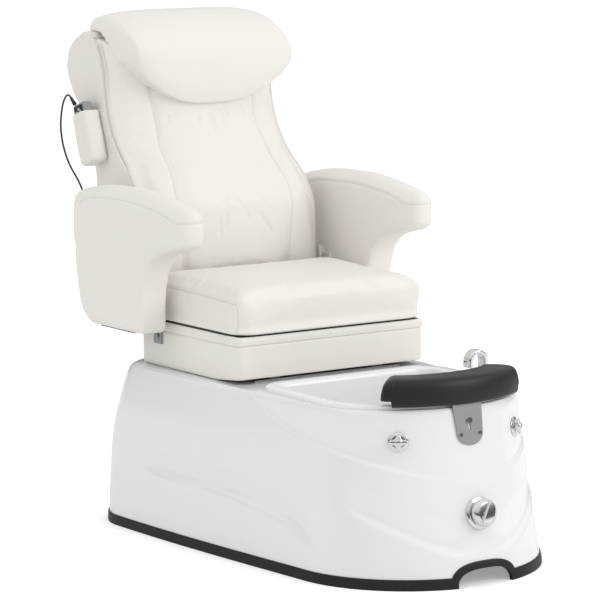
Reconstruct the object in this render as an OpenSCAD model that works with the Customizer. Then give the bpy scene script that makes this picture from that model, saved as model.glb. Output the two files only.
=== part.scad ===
// Electric pedicure chair: moulded base with a foot basin, padded seat that slides,
// reclining backrest with a massage carriage, lifting armrests and a footrest pad.
// Millimetres. The origin is on the floor, on the centre line, half way along the base.
// The front is towards -Y, up is +Z, and +X is to the right seen from the front.

/* [Base] */
// Length of the base shell
base_l = 1180; // [1150:1:1210]
// Greatest width of the base shell
base_w = 700; // [680:1:730]
// Height of the deck above the floor
deck_z = 402; // [390:1:415]
// Width of the base where its round front begins
nose_w = 630; // [615:1:650]
// Length of the round front
nose_l = 300; // [290:1:312]
// Radius of the rear corners
corner_r = 140; // [110:1:150]
// Wall of the base shell
shell_t = 5; // [4:0.5:6]
// Depth of the sculpted panel in the side
recess_d = 5; // [2:0.5:7]
// Height of the rubber edge trim
trim_h = 25; // [20:1:30]
// How far the trim stands proud of the shell
trim_t = 3; // [2:0.5:4]
// Width of the arch in the front edge
arch_w = 154; // [130:1:170]
// Height of the arch in the front edge
arch_h = 40; // [32:1:48]
// Thickness of the trim round the arch
arch_band = 17; // [14:1:20]

/* [Foot basin] */
// Width of the deck beside the basin
deck_side = 36; // [34:1:43]
// Height of the inner basin floor above the ground
basin_z = 150; // [140:1:170]
// Wall of the basin
basin_t = 4; // [3:0.5:5]
// Height of the raised rim
rim_h = 10; // [8:1:12]
// Width of the raised rim on the deck
rim_w = 25; // [20:1:28]
// Diameter of the drain plug
plug_d = 44; // [38:1:50]

/* [Footrest] */
// Depth of the footrest pad
pad_d = 95; // [80:1:105]
// Height of the footrest pad
pad_h = 63; // [56:1:72]
// Half angle that the pad spans round the front
pad_angle = 47; // [42:1:50]
// Width of the footrest bracket at its top
bracket_w = 88; // [76:1:96]
// Thickness of the footrest bracket
bracket_t = 3; // [2:0.5:4]
// Lift of the footrest
pad_lift = 20; // [12:1:22]

/* [Taps and drain] */
// Diameter of a tap escutcheon
tap_plate_d = 47; // [42:1:52]
// Span of a tap handle over its ears
tap_span = 47; // [40:1:50]
// Diameter of the drain knob
drain_knob_d = 64; // [56:1:68]
// Width of the waterfall spout band
spout_w = 30; // [26:1:32]
// Outer radius of the spout arch
spout_r = 28; // [26:1:30]

/* [Seat] */
// Width of the seat cushion
seat_w = 550; // [530:1:570]
// Depth of the seat cushion
seat_d = 412; // [400:1:424]
// Height of the seat cushion to its side seam
cushion_h = 80; // [70:1:90]
// Crown of the seat cushion
crown_h = 31; // [20:1:36]
// Travel of the seat
seat_travel = 150; // [100:1:150]

/* [Backrest] */
// Height of the backrest above its hinge
back_h = 700; // [680:1:720]
// Wall of the back shell
back_t = 8; // [6:1:10]
// Thickness of the back pad at its edge
pad_edge = 25; // [20:1:27]
// Lean of the back frame
lean = 18.9; // [17.5:0.1:19.5]
// Largest recline angle
recline_max = 35; // [20:1:35]

/* [Armrests] */
// Width of an armrest
arm_w = 77; // [68:1:85]
// Crown of the armrest pad
arm_crown = 36; // [28:1:42]

/* [Hidden] */
$fn = 48;

// Clearances, overrun of a cut, and the bore clearance of a pin on its radius
gap = 0.3;
over = 1;
fit = 0.05;
white = "white";
ivory = [0.93, 0.91, 0.88];
cream = [0.9, 0.88, 0.84];
black = [0.15, 0.15, 0.15];
chrome = [0.82, 0.83, 0.85];
steel = [0.6, 0.61, 0.63];
grey = [0.45, 0.46, 0.48];

// A closed skin through rings of equal count, each ring anticlockwise seen from the last one.
// The ends close to their middle point, or in a strip between the two halves of a thin ring
module loft(rings, strip = false) {
    n = len(rings[0]);
    m = len(rings);
    mid = function(r) [for (k = [0:2]) [for (p = r) 1] * [for (p = r) p[k]] / len(r)];
    pts = [for (r = rings) each r, mid(rings[0]), mid(rings[m - 1])];
    side = [for (i = [0:m - 2], j = [0:n - 1]) let (q = (j + 1) % n)
        each [[i * n + j, (i + 1) * n + j, (i + 1) * n + q], [i * n + j, (i + 1) * n + q, i * n + q]]];
    first = strip ? [for (j = [0:n / 2 - 2]) each [[j, j + 1, n - 2 - j], [j, n - 2 - j, n - 1 - j]]]
        : [for (j = [0:n - 1]) [j, (j + 1) % n, m * n]];
    last = [for (f = first) [for (k = [2:-1:0]) f[k] == m * n ? m * n + 1 : f[k] + (m - 1) * n]];
    polyhedron(strip ? [for (k = [0:m * n - 1]) pts[k]] : pts, concat(side, first, last));
}
// A box between two corners
module block(lo, hi) translate(lo) cube(hi - lo);
// A rod between two points
module rod(a, b, r) {
    d = b - a;
    translate(a) rotate([0, acos(d[2] / norm(d)), atan2(d[1], d[0])]) cylinder(r = r, h = norm(d));
}
// A pipe along points, with a ball elbow at each bend
elbow = 0.8;
module pipe(path, r) {
    for (i = [0:len(path) - 2]) rod(path[i], path[i + 1], r);
    for (i = [1:1:len(path) - 2]) translate(path[i]) sphere(r = r + elbow);
}
module both() {
    children();
    mirror([1, 0, 0]) children();
}
function smooth(t) = let (c = min(1, max(0, t))) c * c * (3 - 2 * c);

// Base outline. Each level gives its height share and its size shares:
// nose half width, nose length, half width, rear reach
level_share = [[0, 1, 1, 1, 1], [0.226, 0.968, 0.937, 0.991, 0.993], [0.488, 0.93, 0.863, 0.977, 0.98],
    [0.654, 0.905, 0.813, 0.96, 0.958], [0.761, 0.889, 0.783, 0.943, 0.932],
    [0.898, 0.87, 0.747, 0.909, 0.903], [0.985, 0.857, 0.723, 0.88, 0.869], [1, 0.851, 0.71, 0.857, 0.853]];
nose_y = nose_l - base_l / 2;
function lev(k, z) = lookup(z / deck_z, [for (s = level_share) [s[0], s[k]]]);
function nose_a(z) = lev(1, z) * nose_w / 2;
function nose_b(z) = lev(2, z) * nose_l;
function half_w(z) = lev(3, z) * base_w / 2;
// Radius of the rear corners by height, as a share of the radius at the floor
corner_share = [[0, 1], [0.5, 0.91], [0.75, 0.82], [1, 0.66]];
function corner_at(z) = corner_r * lookup(z / deck_z, corner_share);
function rear_y(z) = lev(4, z) * base_l / 2;
nose_n = 22;
side_n = 8;
turn_n = 6;
outline_n = nose_n + 1 + 2 * (side_n - 1) + 2 * (turn_n + 1);
// Point j of the outline at height z, drawn in by d
function base_pt(j, z, d) = let (a = nose_a(z) - d, b = nose_b(z) - d, w = half_w(z) - d, e = rear_y(z) - d,
    r = corner_at(z) - d, k = j - nose_n, c = k - side_n, m = c - turn_n - 1, q = m - turn_n - 1)
    k <= 0 ? [-a * cos(180 * j / nose_n), nose_y - b * sin(180 * j / nose_n)]
    : c < 0 ? [a + (w - a) * sin(90 * k / side_n), nose_y + (e - r - nose_y) * k / side_n]
    : m < 0 ? [w - r + r * cos(90 * c / turn_n), e - r + r * sin(90 * c / turn_n)]
    : q < 0 ? [r - w - r * sin(90 * m / turn_n), e - r + r * cos(90 * m / turn_n)]
    : let (s = side_n - 1 - q) [-a - (w - a) * sin(90 * s / side_n), nose_y + (e - r - nose_y) * s / side_n];
// The crease that bounds the sculpted panel: [share of half the length, share of the deck height]
crease_share = [[-1, 0.59], [-0.98, 0.6], [-0.92, 0.64], [-0.84, 0.68], [-0.74, 0.715], [-0.6, 0.755],
    [-0.41, 0.795], [-0.17, 0.91], [-0.1, 0.965], [-0.03, 0.985], [1, 0.985]];
// How much of the panel depth is there: [share of half the length, share of the depth]
panel_share = [[-1, 0], [-0.975, 0.1], [-0.93, 0.6], [-0.86, 1], [-0.2, 1], [-0.12, 0.7], [-0.06, 0], [1, 0]];
function crease_z(y) = deck_z * lookup(2 * y / base_l, crease_share);
function panel_d(y) = recess_d * lookup(2 * y / base_l, panel_share);
low_share = [0.1, 0.24, 0.4, 0.56, 0.7, 0.82, 0.91, 0.97, 1];
high_share = [0.06, 0.2, 0.4, 0.6, 0.78, 0.92, 1];
edge_z = 6;
// Outer point j on ring g: the first rings climb to the crease, the rest climb to the deck
function skin_pt(j, g) = let (y = base_pt(j, 0, 0)[1], c = crease_z(y), n = len(low_share),
    u = g == 0 ? 0 : g <= n ? low_share[g - 1] : high_share[g - n - 1],
    z = g == 0 ? edge_z : g <= n ? edge_z + (c - edge_z) * u : c + (deck_z - c) * u,
    d = g <= n ? 0 : panel_d(y) * (1 - smooth(u)))
    [each base_pt(j, z, d), z];
skin_n = len(low_share) + len(high_share);
module skin() loft([for (g = [0:skin_n]) [for (j = [0:outline_n - 1]) skin_pt(j, g)]]);
inner_share = [0, 0.226, 0.488, 0.654, 0.761, 0.898, 1];
deck_t = shell_t;
module hollow() loft([for (u = inner_share) let (z = edge_z - over + (deck_z - deck_t - edge_z + over) * u)
    [for (j = [0:outline_n - 1]) [each base_pt(j, z, shell_t + recess_d), z]]]);
foot_share = [0, 0.5, 1];
module edge_wall(z0, z1, d0, d1) difference() {
    loft([for (u = foot_share) let (z = z0 + (z1 - z0) * u)
        [for (j = [0:outline_n - 1]) [each base_pt(j, z, d0), z]]]);
    loft([for (u = foot_share) let (z = z0 - over + (z1 - z0 + 2 * over) * u)
        [for (j = [0:outline_n - 1]) [each base_pt(j, z, d1), z]]]);
}
// The arch in the front edge, as a superellipse in the XZ plane run through the front wall
arch_power = 2.6;
arch_n = 16;
arch_run = nose_l * 2 / 3;
module arch(grow) translate([0, nose_y - nose_l + arch_run, 0]) rotate([90, 0, 0])
    linear_extrude(arch_run + over + trim_t) polygon([
        [arch_w / 2 + grow, -over], for (i = [0:arch_n]) let (t = 180 * i / arch_n, c = cos(t))
            [sign(c) * pow(abs(c), 2 / arch_power) * (arch_w / 2 + grow),
             pow(sin(t), 2 / arch_power) * (arch_h + grow)],
        [-arch_w / 2 - grow, -over]]);

// Basin opening and rim outlines: a half ellipse at the front and straight sides to the rear
dee_n = 28;
function dee(a, b, e) = [for (i = [0:dee_n]) [-a * cos(180 * i / dee_n), nose_y - b * sin(180 * i / dee_n)],
    [a, e], [-a, e]];
cut_gap = 4;
basin_a = nose_a(deck_z) - deck_side;
basin_inset = 43;
basin_b = nose_b(deck_z) - basin_inset;
seat_back = 574;
seat_y0 = base_l / 2 - seat_back;
basin_behind = 66;
basin_e = seat_y0 - basin_behind;
rim_a = basin_a + rim_w + cut_gap;
rim_b = basin_b + rim_w + cut_gap * 3;
rim_e = basin_e + rim_h;
rim_z = deck_z + rim_h;
basin_tilt = 40;
basin_round = 26;
basin_share = [[0, 1], [0.35, 0.42], [0.75, 0.14], [0.93, 0.05], [1, 0]];
// The basin body narrows towards its floor
module basin_body(d, top, floor_z) loft([for (s = [[0, 1], [0.04, 0.82], [0.16, 0.62], [0.5, 0.36], [1, 0]])
    let (z = floor_z + (top - floor_z) * s[0], k = basin_tilt * s[1] + d)
    [for (p = dee(basin_a - k, basin_b - k, basin_e - k)) [each p, z]]]);

// Drain
drain_ahead = 5;
drain_y = (nose_y - basin_b + basin_e) / 2 - drain_ahead;
drain_r = plug_d / 2 + 10;
drain_hole_r = plug_d / 2;
drain_flange = 3;
drain_drop = 46;
drain_pipe_r = 20;
drain_run_z = 75;
stem_r = 4;
plug_t = 5;
plug_drop = 30;

// Spout
spout_t = 12;
spout_wall = 2;
spout_behind = 10;
spout_y = drain_y + spout_behind;
spout_x = basin_a - 7;
spout_z = rim_z + 40;
spout_leg_x = spout_x + spout_r - spout_t / 2;
feed_r = 5;

// Taps: frame on the shell at a height and an angle round the nose
tap_t = 37.6;
tap_z = 332;
function lerp(a, b, t) = a + (b - a) * t;
// The skin inset at nose angle t and height z
function inset_at(y, z) = let (c = crease_z(y)) z <= c ? 0 : panel_d(y) * (1 - smooth((z - c) / (deck_z - c)));
function nose_pt(t, z) = let (y = nose_y - nose_l * cos(t), d = inset_at(y, z))
    [(nose_a(z) - d) * sin(t), nose_y - (nose_b(z) - d) * cos(t), z];
probe = 6;
function nose_n_at(t, z) = let (u = nose_pt(t + 1, z) - nose_pt(t - 1, z),
    v = nose_pt(t, z + probe) - nose_pt(t, z - probe), n = cross(u, v)) n / norm(n);
// Places children with their Z axis along the outward normal
module on_nose(t, z) {
    n = nose_n_at(t, z);
    translate(nose_pt(t, z)) rotate([0, 0, atan2(n[0], -n[1])]) rotate([90 - asin(n[2]), 0, 0]) children();
}
function to_nose(t, z, d) = nose_pt(t, z) - nose_n_at(t, z) * d;
tap_plate_t = 5;
tap_bore_r = 11;
spindle_r = 4;
spindle_l = 8;
tap_nut_r = 15;
nut_t = 6;
tap_hub_r = 11;
tap_hub_l = 10;
tap_ear_h = 7;
tap_ear_r = 6;
drain_z = 162;
drain_plate_d = 76;
drain_plate_t = 6;
drain_hub_l = 18;
drain_face = 12;
drain_spindle_l = 14;
valve_w = 50;
valve_d = 22;
valve_h = 26;
valve_back = 36;
pipe_r = 7;
pipe_z = 115;
inlet_z = 54;
inlet_h = 22;
inlet_r = 13;
port = 15;
valve_c = to_nose(tap_t, tap_z, valve_back);

// Footrest bracket frame: up the line of the front wall
screw_z = 371;
brk_lo = 306;
brk_hi = 396;
brk_tilt = atan2(nose_b(brk_lo) - nose_b(brk_hi), brk_hi - brk_lo);
module on_front(z) translate([0, nose_y - nose_b(z), z]) rotate([-brk_tilt, 0, 0]) children();
brk_low = 57;
brk_up = 68;
brk_taper = 8;
brk_round = 27;
brk_n = 14;
slot_r = 3.3;
screw_r = 3;
screw_head_r = 7;
screw_head_t = 4;
screw_in = 14;
rivet_x = 27;
rivet_down = 31;
rivet_r = 4.5;
rivet_t = 2.5;

// Footrest pad section: [share of depth from the inner edge, height above the rim as a share]
pad_over = 17;
apron_t = 12;
apron_drop = 2;
end_lift = 14;
pad_sec = [[0.03, 0], [0, 0.14], [0, 0.62], [0.03, 0.82], [0.1, 0.94], [0.22, 0.99], [0.5, 1], [0.76, 0.99],
    [0.9, 0.93], [0.97, 0.8], [1, 0.58]];
pad_n = 20;
pad_a = nose_a(deck_z) + pad_over;
pad_b = nose_b(deck_z) + pad_over;
pad_z = rim_z + gap;
pad_end_share = [[0, 0.5], [0.01, 0.72], [0.025, 0.9], [0.05, 1]];

// Underframe
tube = 30;
frame_in = 115;
frame_x = nose_w / 2 - frame_in;
frame_z = 20;
frame_y0 = nose_y - 140;
frame_y1 = base_l / 2 - 140;
foot_r = 25;
foot_h = 8;
foot_stem_r = 6;
foot_in = 30;
post_y0 = seat_y0 + 44;
post_y1 = seat_y0 + seat_d - 8;
top_z = deck_z - deck_t;

// Platform, rails and runners
plate_t = 4;
plate_x = frame_x + tube / 2;
plate_y0 = seat_y0 + 24;
plate_y1 = seat_y0 + seat_d + 12;
rail_w = 30;
rail_h = 40;
rail_wall = 3;
rail_mouth = 10;
rail_x = 150;
rail_y0 = plate_y0 + 10;
rail_y1 = plate_y1 - 10;
rail_z = deck_z + plate_t;
run_gap = 0.1;
run_web = 8;
run_z = rail_z + rail_h;
frame_up = 40;
frame_low = run_z + frame_up;
board_z = frame_low + tube;
board_t = 8;
cush_z = board_z + board_t;
run_y0 = rail_y0 + seat_travel;
// Slide actuator
act_x = 90;
act_r = 15;
act_z = rail_z + 24;
act_y0 = plate_y0 + 40;
act_y1 = act_y0 + 220;
act_motor = 100;
act_wall = 4;
act_rod_r = 8;
rod_tail = 15;
lug_y = plate_y0 + 8;
lug_t = 8;
lug_w = 24;
act_bed = 10;

// Seat
seat_y1 = seat_y0 + seat_d;
seat_hw = seat_w / 2;
skirt_in = 0.5;
skirt_t = 8;
skirt_hw = seat_hw - skirt_in;
skirt_y0 = seat_y0 + 2;
skirt_y1 = seat_y1 + 18;
skirt_band = 23;
skirt_step = 2;
skirt_low = deck_z + 2;
skirt_lift = 11;
skirt_flat = 106;
skirt_r = 10;
board_in = 3;
side_x1 = seat_hw - 25;
side_x0 = side_x1 - tube;
cross_w = 20;
cross_y = seat_y1 + 8;
mid_y = plate_y0 + 160;
seam_rise = 12;

// Hinges of the backrest and the armrests
hinge_y = seat_y1 + 72;
hinge_z = frame_low + 74;
arm_y = hinge_y;
arm_z = hinge_z + 70;
plate_x0 = seat_hw + 3;
arm_plate_t = 6;
plate_x1 = plate_x0 + arm_plate_t;
pin_r = 8;
collar_r = 12;
hub_r = 18;
back_hw = seat_hw - 20;
pad_hw = seat_hw - 12;
member_t = 15;
member_x1 = back_hw - back_t;
member_x0 = member_x1 - member_t;
hub_x1 = member_x1 + 15;
pin_in = 11;
arm_x0 = seat_hw + 25;
brk_plate_t = 6;
arm_hub_t = 14;
stop_t = 4;
stop_y0 = hinge_y - 144;
stop_y1 = hinge_y - 110;
stop_h = 31;
stop_reach = 30;
flange_t = 4;

// Recline actuator and lever
lever = 100;
lever_half = recline_max / 2;
rec_x = 90;
rec_z = frame_low - 24;
pin_rest_y = hinge_y + lever * sin(lever_half);
pin_rest_z = hinge_z - lever * cos(lever_half);
stroke = 2 * lever * sin(lever_half);
rec_r = 18;
rec_wall = 4;
rec_y0 = plate_y0 + 110;
rec_y1 = rec_y0 + 180;
rec_motor = 40;
rec_rod_r = 9;
rod_in = 90;
lever_t = 8;
lever_w = 10;
fork_t = 5;
fork_gap = 1;
fork_h = 36;
fork_back = 20;
fork_r = 12;
lever_pin_r = 5;
fork_x0 = rec_x - lever_t / 2 - fork_gap - fork_t;
fork_x1 = rec_x + lever_t / 2 + fork_gap + fork_t;

// Backrest side profile, in shares of its height from the hinge: [height, pad edge, crown depth]
edge_share = [[-0.05, -0.085, 0.02], [0.045, -0.085, 0.02], [0.08, -0.066, 0.03], [0.186, -0.067, 0.033],
    [0.283, -0.065, 0.038], [0.381, -0.013, 0.05], [0.436, 0.041, 0.062], [0.486, 0.095, 0.07],
    [0.557, 0.151, 0.08], [0.629, 0.183, 0.084], [0.7, 0.198, 0.084], [0.771, 0.206, 0.075],
    [0.83, 0.224, 0.066], [0.907, 0.271, 0.05], [0.93, 0.3, 0.03]];
// Rear of the shell: [height share, reach share]
rear_share = [[-0.043, 0.2], [0, 0.245], [0.086, 0.272], [0.2, 0.293], [0.314, 0.303], [0.369, 0.305],
    [0.421, 0.31], [0.45, 0.323], [0.466, 0.344], [0.65, 0.417], [0.68, 0.451], [0.721, 0.479],
    [0.786, 0.505], [0.826, 0.497], [0.876, 0.461], [0.914, 0.388], [0.932, 0.33]];
function pad_y(z) = hinge_y + back_h * lookup((z - hinge_z) / back_h, [for (s = edge_share) [s[0], s[1]]]);
function pad_c(z) = back_h * lookup((z - hinge_z) / back_h, [for (s = edge_share) [s[0], s[2]]]);
function rear_at(z) = hinge_y + back_h * lookup((z - hinge_z) / back_h, rear_share);
neck_in = 11;
function pad_w_at(z) = pad_hw - neck_in * smooth(((z - hinge_z) / back_h - 0.38) / 0.1);
shell_rise_share = [-0.043, 0, 0.045, 0.08, 0.14, 0.186, 0.235, 0.283, 0.33, 0.369, 0.381, 0.421, 0.436, 0.45,
    0.466, 0.486, 0.52, 0.557, 0.6, 0.629, 0.65, 0.68, 0.7, 0.721, 0.75, 0.771, 0.8, 0.826, 0.83, 0.855, 0.876,
    0.9, 0.907, 0.912, 0.92];
shell_turn = 5;
shell_r = 34;
function shell_ring(z, d, front) = let (w = back_hw - d, y0 = pad_y(z) + pad_edge - front, y1 = rear_at(z) - d,
    r = min(shell_r, (y1 - y0) * 0.45))
    [[-w, y0, z], [0, y0, z], [w, y0, z],
     for (i = [0:shell_turn]) [w - r + r * cos(90 * i / shell_turn), y1 - r + r * sin(90 * i / shell_turn), z],
     for (i = [0:shell_turn]) [r - w - r * sin(90 * i / shell_turn), y1 - r + r * cos(90 * i / shell_turn), z]];
function shell_z(u) = hinge_z + back_h * u;
shell_top = shell_z(0.92);
shell_low = shell_z(-0.043);
// Local frame of the back frame: y is across the back, z is up along it
module on_back() translate([0, hinge_y, hinge_z]) rotate([-lean, 0, 0]) children();
member_y0 = 25;
member_y1 = 55;
member_rise = 80;
member_up = 620;
cross_w0 = 110;
cross_w1 = 600;
cross_t = 10;
cross_y1 = 90;
torsion_r = 15;
rod_x = 70;
rod_y = 75;
rod_r = 8;
screw_rod_r = 6;
car_hw = 100;
car_y0 = 58;
car_y1 = 95;
car_w0 = 140;
car_h = 100;
roller_r = 30;
roller_x0 = 35;
roller_t = 20;
axle_r = 6;
axle_y = 48;
axle_w = car_w0 + car_h / 2;
ear_x0 = 58;
ear_t = 8;
ear_half = 15;
car_travel = 300;

// Back pad: positions across its width as shares, and the two long seams
across_share = [-1, -0.97, -0.88, -0.76, -0.68, -0.63, -0.6, -0.57, -0.5, -0.35, -0.17, 0,
    0.17, 0.35, 0.5, 0.57, 0.6, 0.63, 0.68, 0.76, 0.88, 0.97, 1];
pad_rise_share = [0.052, 0.06, 0.08, 0.1, 0.14, 0.186, 0.235, 0.283, 0.33, 0.381, 0.436, 0.486, 0.52, 0.557, 0.6,
    0.629, 0.665, 0.7, 0.735, 0.771, 0.8, 0.83, 0.87, 0.9];
crown_power = 2.4;
seam_share = 0.6;
seam_wide_share = 0.035;
seam_d = 7;
lumbar_share = 0.3;
lumbar_d = 6;
function pad_front(x, z) = let (s = x / pad_w_at(z), u = (z - hinge_z) / back_h)
    pad_y(z) - pad_c(z) * (1 - pow(abs(s), crown_power))
    + seam_d * exp(-pow((abs(s) - seam_share) / seam_wide_share, 2))
    + (abs(s) < seam_share ? lumbar_d * exp(-pow((u - lumbar_share) / seam_wide_share, 2)) : 0);
pad_tuck = 5;
// Head pillow
pillow_hw = seat_hw - 13;
pillow_low = 458;
pillow_arc = 115;
pillow_arc_power = 2.6;
pillow_n = 16;

// Side pocket, remote and its cable
pocket_t = 3;
pocket_w = 53;
pocket_y0 = 11;
pocket_y1 = 76;
pocket_z0 = 350;
pocket_z1 = 483;
pocket_floor = 6;
remote_x0 = back_hw + 17;
remote_t = 28;
remote_y0 = 16;
remote_y1 = 70;
remote_r = 8;
remote_l = 152;
relief_h = 30;
relief_r = 3.5;
cable_r = 2.5;
cable_side = 8;
// Points of the cable, measured from the hinge of the backrest
cable_list = [[-293, 248, 478], [-293, 253, 482], [-293, 259, 484], [-294, 266, 483], [-294, 273, 478],
    [-294, 280, 470], [-294, 287, 458], [-294, 292, 442], [-294, 296, 425], [-294, 298, 407], [-294, 297, 390],
    [-294, 293, 373], [-294, 288, 357], [-294, 280, 341], [-294, 270, 325], [-294, 258, 310], [-294, 245, 297],
    [-294, 231, 286], [-294, 216, 273], [-294, 202, 258], [-294, 190, 242], [-294, 180, 225], [-293, 173, 208],
    [-291, 168, 193], [-287, 165, 181], [-281, 164, 173], [-275, 164, 169], [-268, 164, 168]];
cable_points = [for (p = cable_list) p + [0, hinge_y, hinge_z]];
gland_r = 8;
gland_l = 13;

// Armrest outline from its hinge, in shares of its length, front top to rear top by way of the
// bottom: [y, z, share of the end bulge, share of the edge rounding in y and in z]
arm_l = 520;
arm_bulge = 36;
arm_share = [[-0.725, 0.3, -0.65, 1, 0], [-0.723, 0.227, -0.65, 1, 0], [-0.712, 0.196, -0.6, 0.8, 0.6],
    [-0.681, 0.177, -0.45, 0.3, 1], [-0.604, 0.152, -0.3, 0.2, 1], [-0.535, 0.127, -0.2, 0.4, 1],
    [-0.481, 0.09, -0.15, 0.7, 0.7], [-0.442, 0.042, -0.1, 0.9, 0.4], [-0.419, -0.019, -0.05, 1, 0.1],
    [-0.408, -0.081, 0, 1, 0], [-0.404, -0.154, 0, 1, 0], [-0.4, -0.252, 0, 1, 1],
    [-0.16, -0.252, 0, 0, 1], [0.03, -0.247, 0.3, 0, 1], [0.09, -0.225, 0.6, -0.5, 0.8],
    [0.13, -0.185, 0.9, -0.8, 0.5], [0.152, -0.105, 1, -1, 0], [0.175, 0.04, 1, -1, 0],
    [0.187, 0.18, 1, -1, 0], [0.187, 0.319, 1, -1, 0]];
// The seam between the armrest body and its pad, rear to front, without its two ends
top_share = [[0.145, 0.319], [0.096, 0.338], [-0.067, 0.358], [-0.267, 0.362], [-0.48, 0.346], [-0.635, 0.319],
    [-0.69, 0.3]];
arm_side_share = [-1, -0.94, -0.84, -0.7, -0.4, 0, 0.4, 0.7, 0.84, 0.94, 1];
arm_round = 12;
arm_low = arm_z + arm_l * arm_share[11][1];

// Base
module shell_wall() difference() {
    skin();
    hollow();
    arch(edge_z);
}
module on_rear(x, z) translate([x, rear_y(z), z])
    rotate([atan2(rear_y(z - probe) - rear_y(z + probe), 2 * probe), 0, 0]) children();
inlet_x = 120;
socket_z = 120;
socket_w = 50;
socket_h = 32;
socket_body_w = 40;
socket_body_h = 24;
socket_in = 26;
socket_lip = 3;
socket_wall = 4;
module base_shell() color(white) difference() {
    shell_wall();
    translate([0, 0, deck_z - deck_t - over]) linear_extrude(deck_t + 2 * over)
        polygon(dee(basin_a, basin_b, basin_e));
    both() on_nose(tap_t, tap_z) translate([0, 0, -valve_back]) cylinder(r = tap_bore_r, h = valve_back + over);
    on_nose(0, drain_z) translate([0, 0, -valve_back]) cylinder(r = tap_bore_r, h = valve_back + over);
    on_front(screw_z) rotate([-90, 0, 0]) translate([0, 0, -over]) cylinder(r = screw_r, h = 2 * screw_in);
    translate([spout_leg_x, spout_y, deck_z - 2 * deck_t]) cylinder(r = feed_r, h = 3 * deck_t);
    on_rear(inlet_x, socket_z) block([-socket_body_w / 2, -socket_in, -socket_body_h / 2],
        [socket_body_w / 2, over, socket_body_h / 2]);
}

wall_in = shell_t + recess_d;
module edge_trim() color(black) difference() {
    union() {
        edge_wall(0, trim_h, -trim_t, wall_in + trim_t);
        intersection() {
            edge_wall(0, arch_h + arch_band, -trim_t, wall_in + trim_t);
            arch(arch_band);
        }
    }
    arch(0);
    shell_wall();
}

module foot_basin() color(white) difference() {
    union() {
        basin_body(0, deck_z + rim_h / 2, basin_z - basin_t);
        translate([0, 0, deck_z]) linear_extrude(rim_h) polygon(dee(rim_a, rim_b, rim_e));
    }
    basin_body(basin_t, rim_z + over, basin_z);
    translate([0, drain_y, basin_z - basin_t - over]) cylinder(r = drain_body_r, h = basin_t + 2 * over);
    translate([spout_leg_x, spout_y, deck_z - over]) cylinder(r = feed_r, h = rim_h + 2 * over);
}

mouth_h = 14;
rose_t = 4;
rose_out = 4;
module spout_form(d, dip) {
    w = spout_w - 2 * d;
    translate([spout_x, spout_y + w / 2, spout_z]) rotate([90, 0, 0]) linear_extrude(w) difference() {
        circle(spout_r - d);
        circle(spout_r - spout_t + d);
        translate([-spout_r, -spout_r]) square([2 * spout_r, spout_r]);
    }
    block([spout_x + spout_r - spout_t + d, spout_y - w / 2, rim_z - dip],
        [spout_x + spout_r - d, spout_y + w / 2, spout_z + dip]);
    block([spout_x - spout_r + d, spout_y - w / 2, spout_z - mouth_h - dip],
        [spout_x - spout_r + spout_t - d, spout_y + w / 2, spout_z + dip]);
}
module waterfall_spout() color(chrome) difference() {
    union() {
        spout_form(0, 0);
        block([spout_leg_x - spout_t / 2 - rose_out, spout_y - spout_w / 2 - rose_out, rim_z],
            [spout_leg_x + spout_t / 2 + rose_out / 2, spout_y + spout_w / 2 + rose_out, rim_z + rose_t]);
    }
    intersection() {
        spout_form(spout_wall, over);
        block([spout_x - 2 * spout_r, spout_y - spout_w, rim_z - over],
            [spout_x + 2 * spout_r, spout_y + spout_w, spout_z + spout_r - spout_wall]);
    }
}

drain_body_r = plug_d / 2 + 4;
drain_bore_r = plug_d / 2 - 4;
guide_z = basin_z - 28;
guide_h = 6;
guide_half = 5;
module drain_fitting() color(chrome) translate([0, drain_y, 0]) {
    difference() {
        union() {
            translate([0, 0, basin_z]) cylinder(r = drain_r, h = drain_flange);
            translate([0, 0, basin_z - drain_drop]) cylinder(r = drain_body_r, h = drain_drop);
        }
        translate([0, 0, basin_z - drain_drop - over])
            cylinder(r = drain_bore_r, h = drain_drop + drain_flange + 2 * over);
    }
    difference() {
        intersection() {
            block([-drain_bore_r - over, -guide_half, guide_z],
                [drain_bore_r + over, guide_half, guide_z + guide_h]);
            translate([0, 0, guide_z]) cylinder(r = drain_bore_r + over, h = guide_h);
        }
        translate([0, 0, guide_z - over]) cylinder(r = stem_r + fit, h = guide_h + 2 * over);
    }
}

drain_wall = 3;
drain_end_y = frame_y1 - 75;
module drain_run(r, e) pipe([[0, drain_y, basin_z - drain_drop + e], [0, drain_y, drain_run_z],
    [0, drain_end_y + e, drain_run_z]], r);
module drain_pipe() color(grey) difference() {
    drain_run(drain_pipe_r, 0);
    drain_run(drain_pipe_r - drain_wall, over);
}

cable_drop = 20;
core_r = 3;
cable_ease = 12;
module drain_cable() color(black) let (a = to_nose(0, drain_z, valve_back), y = valve_c[1],
    z = pipe_z - cable_drop, e = drain_y - drain_body_r)
    swept([a, a + [0, cable_ease, 0], [0, y - cable_ease, z + cable_ease], [0, y, z + core_r],
        [0, y + cable_ease, z], [0, e - 3 * cable_ease, z], [0, e - cable_ease, pipe_z - core_r],
        [0, e - gap, pipe_z]], core_r, cable_side);

dome_share = 0.75;
module plate_ring(r, t) rotate_extrude() polygon([[tap_bore_r, 0], [r, 0], [r, t / 3], [r * dome_share, t],
    [tap_bore_r, t]]);
module knob_escutcheons() color(chrome) both() on_nose(tap_t, tap_z) plate_ring(tap_plate_d / 2, tap_plate_t);
module drain_escutcheon() color(chrome) on_nose(0, drain_z) {
    plate_ring(drain_plate_d / 2, drain_plate_t);
    neck(drain_plate_t, drain_spindle_l);
}
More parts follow.
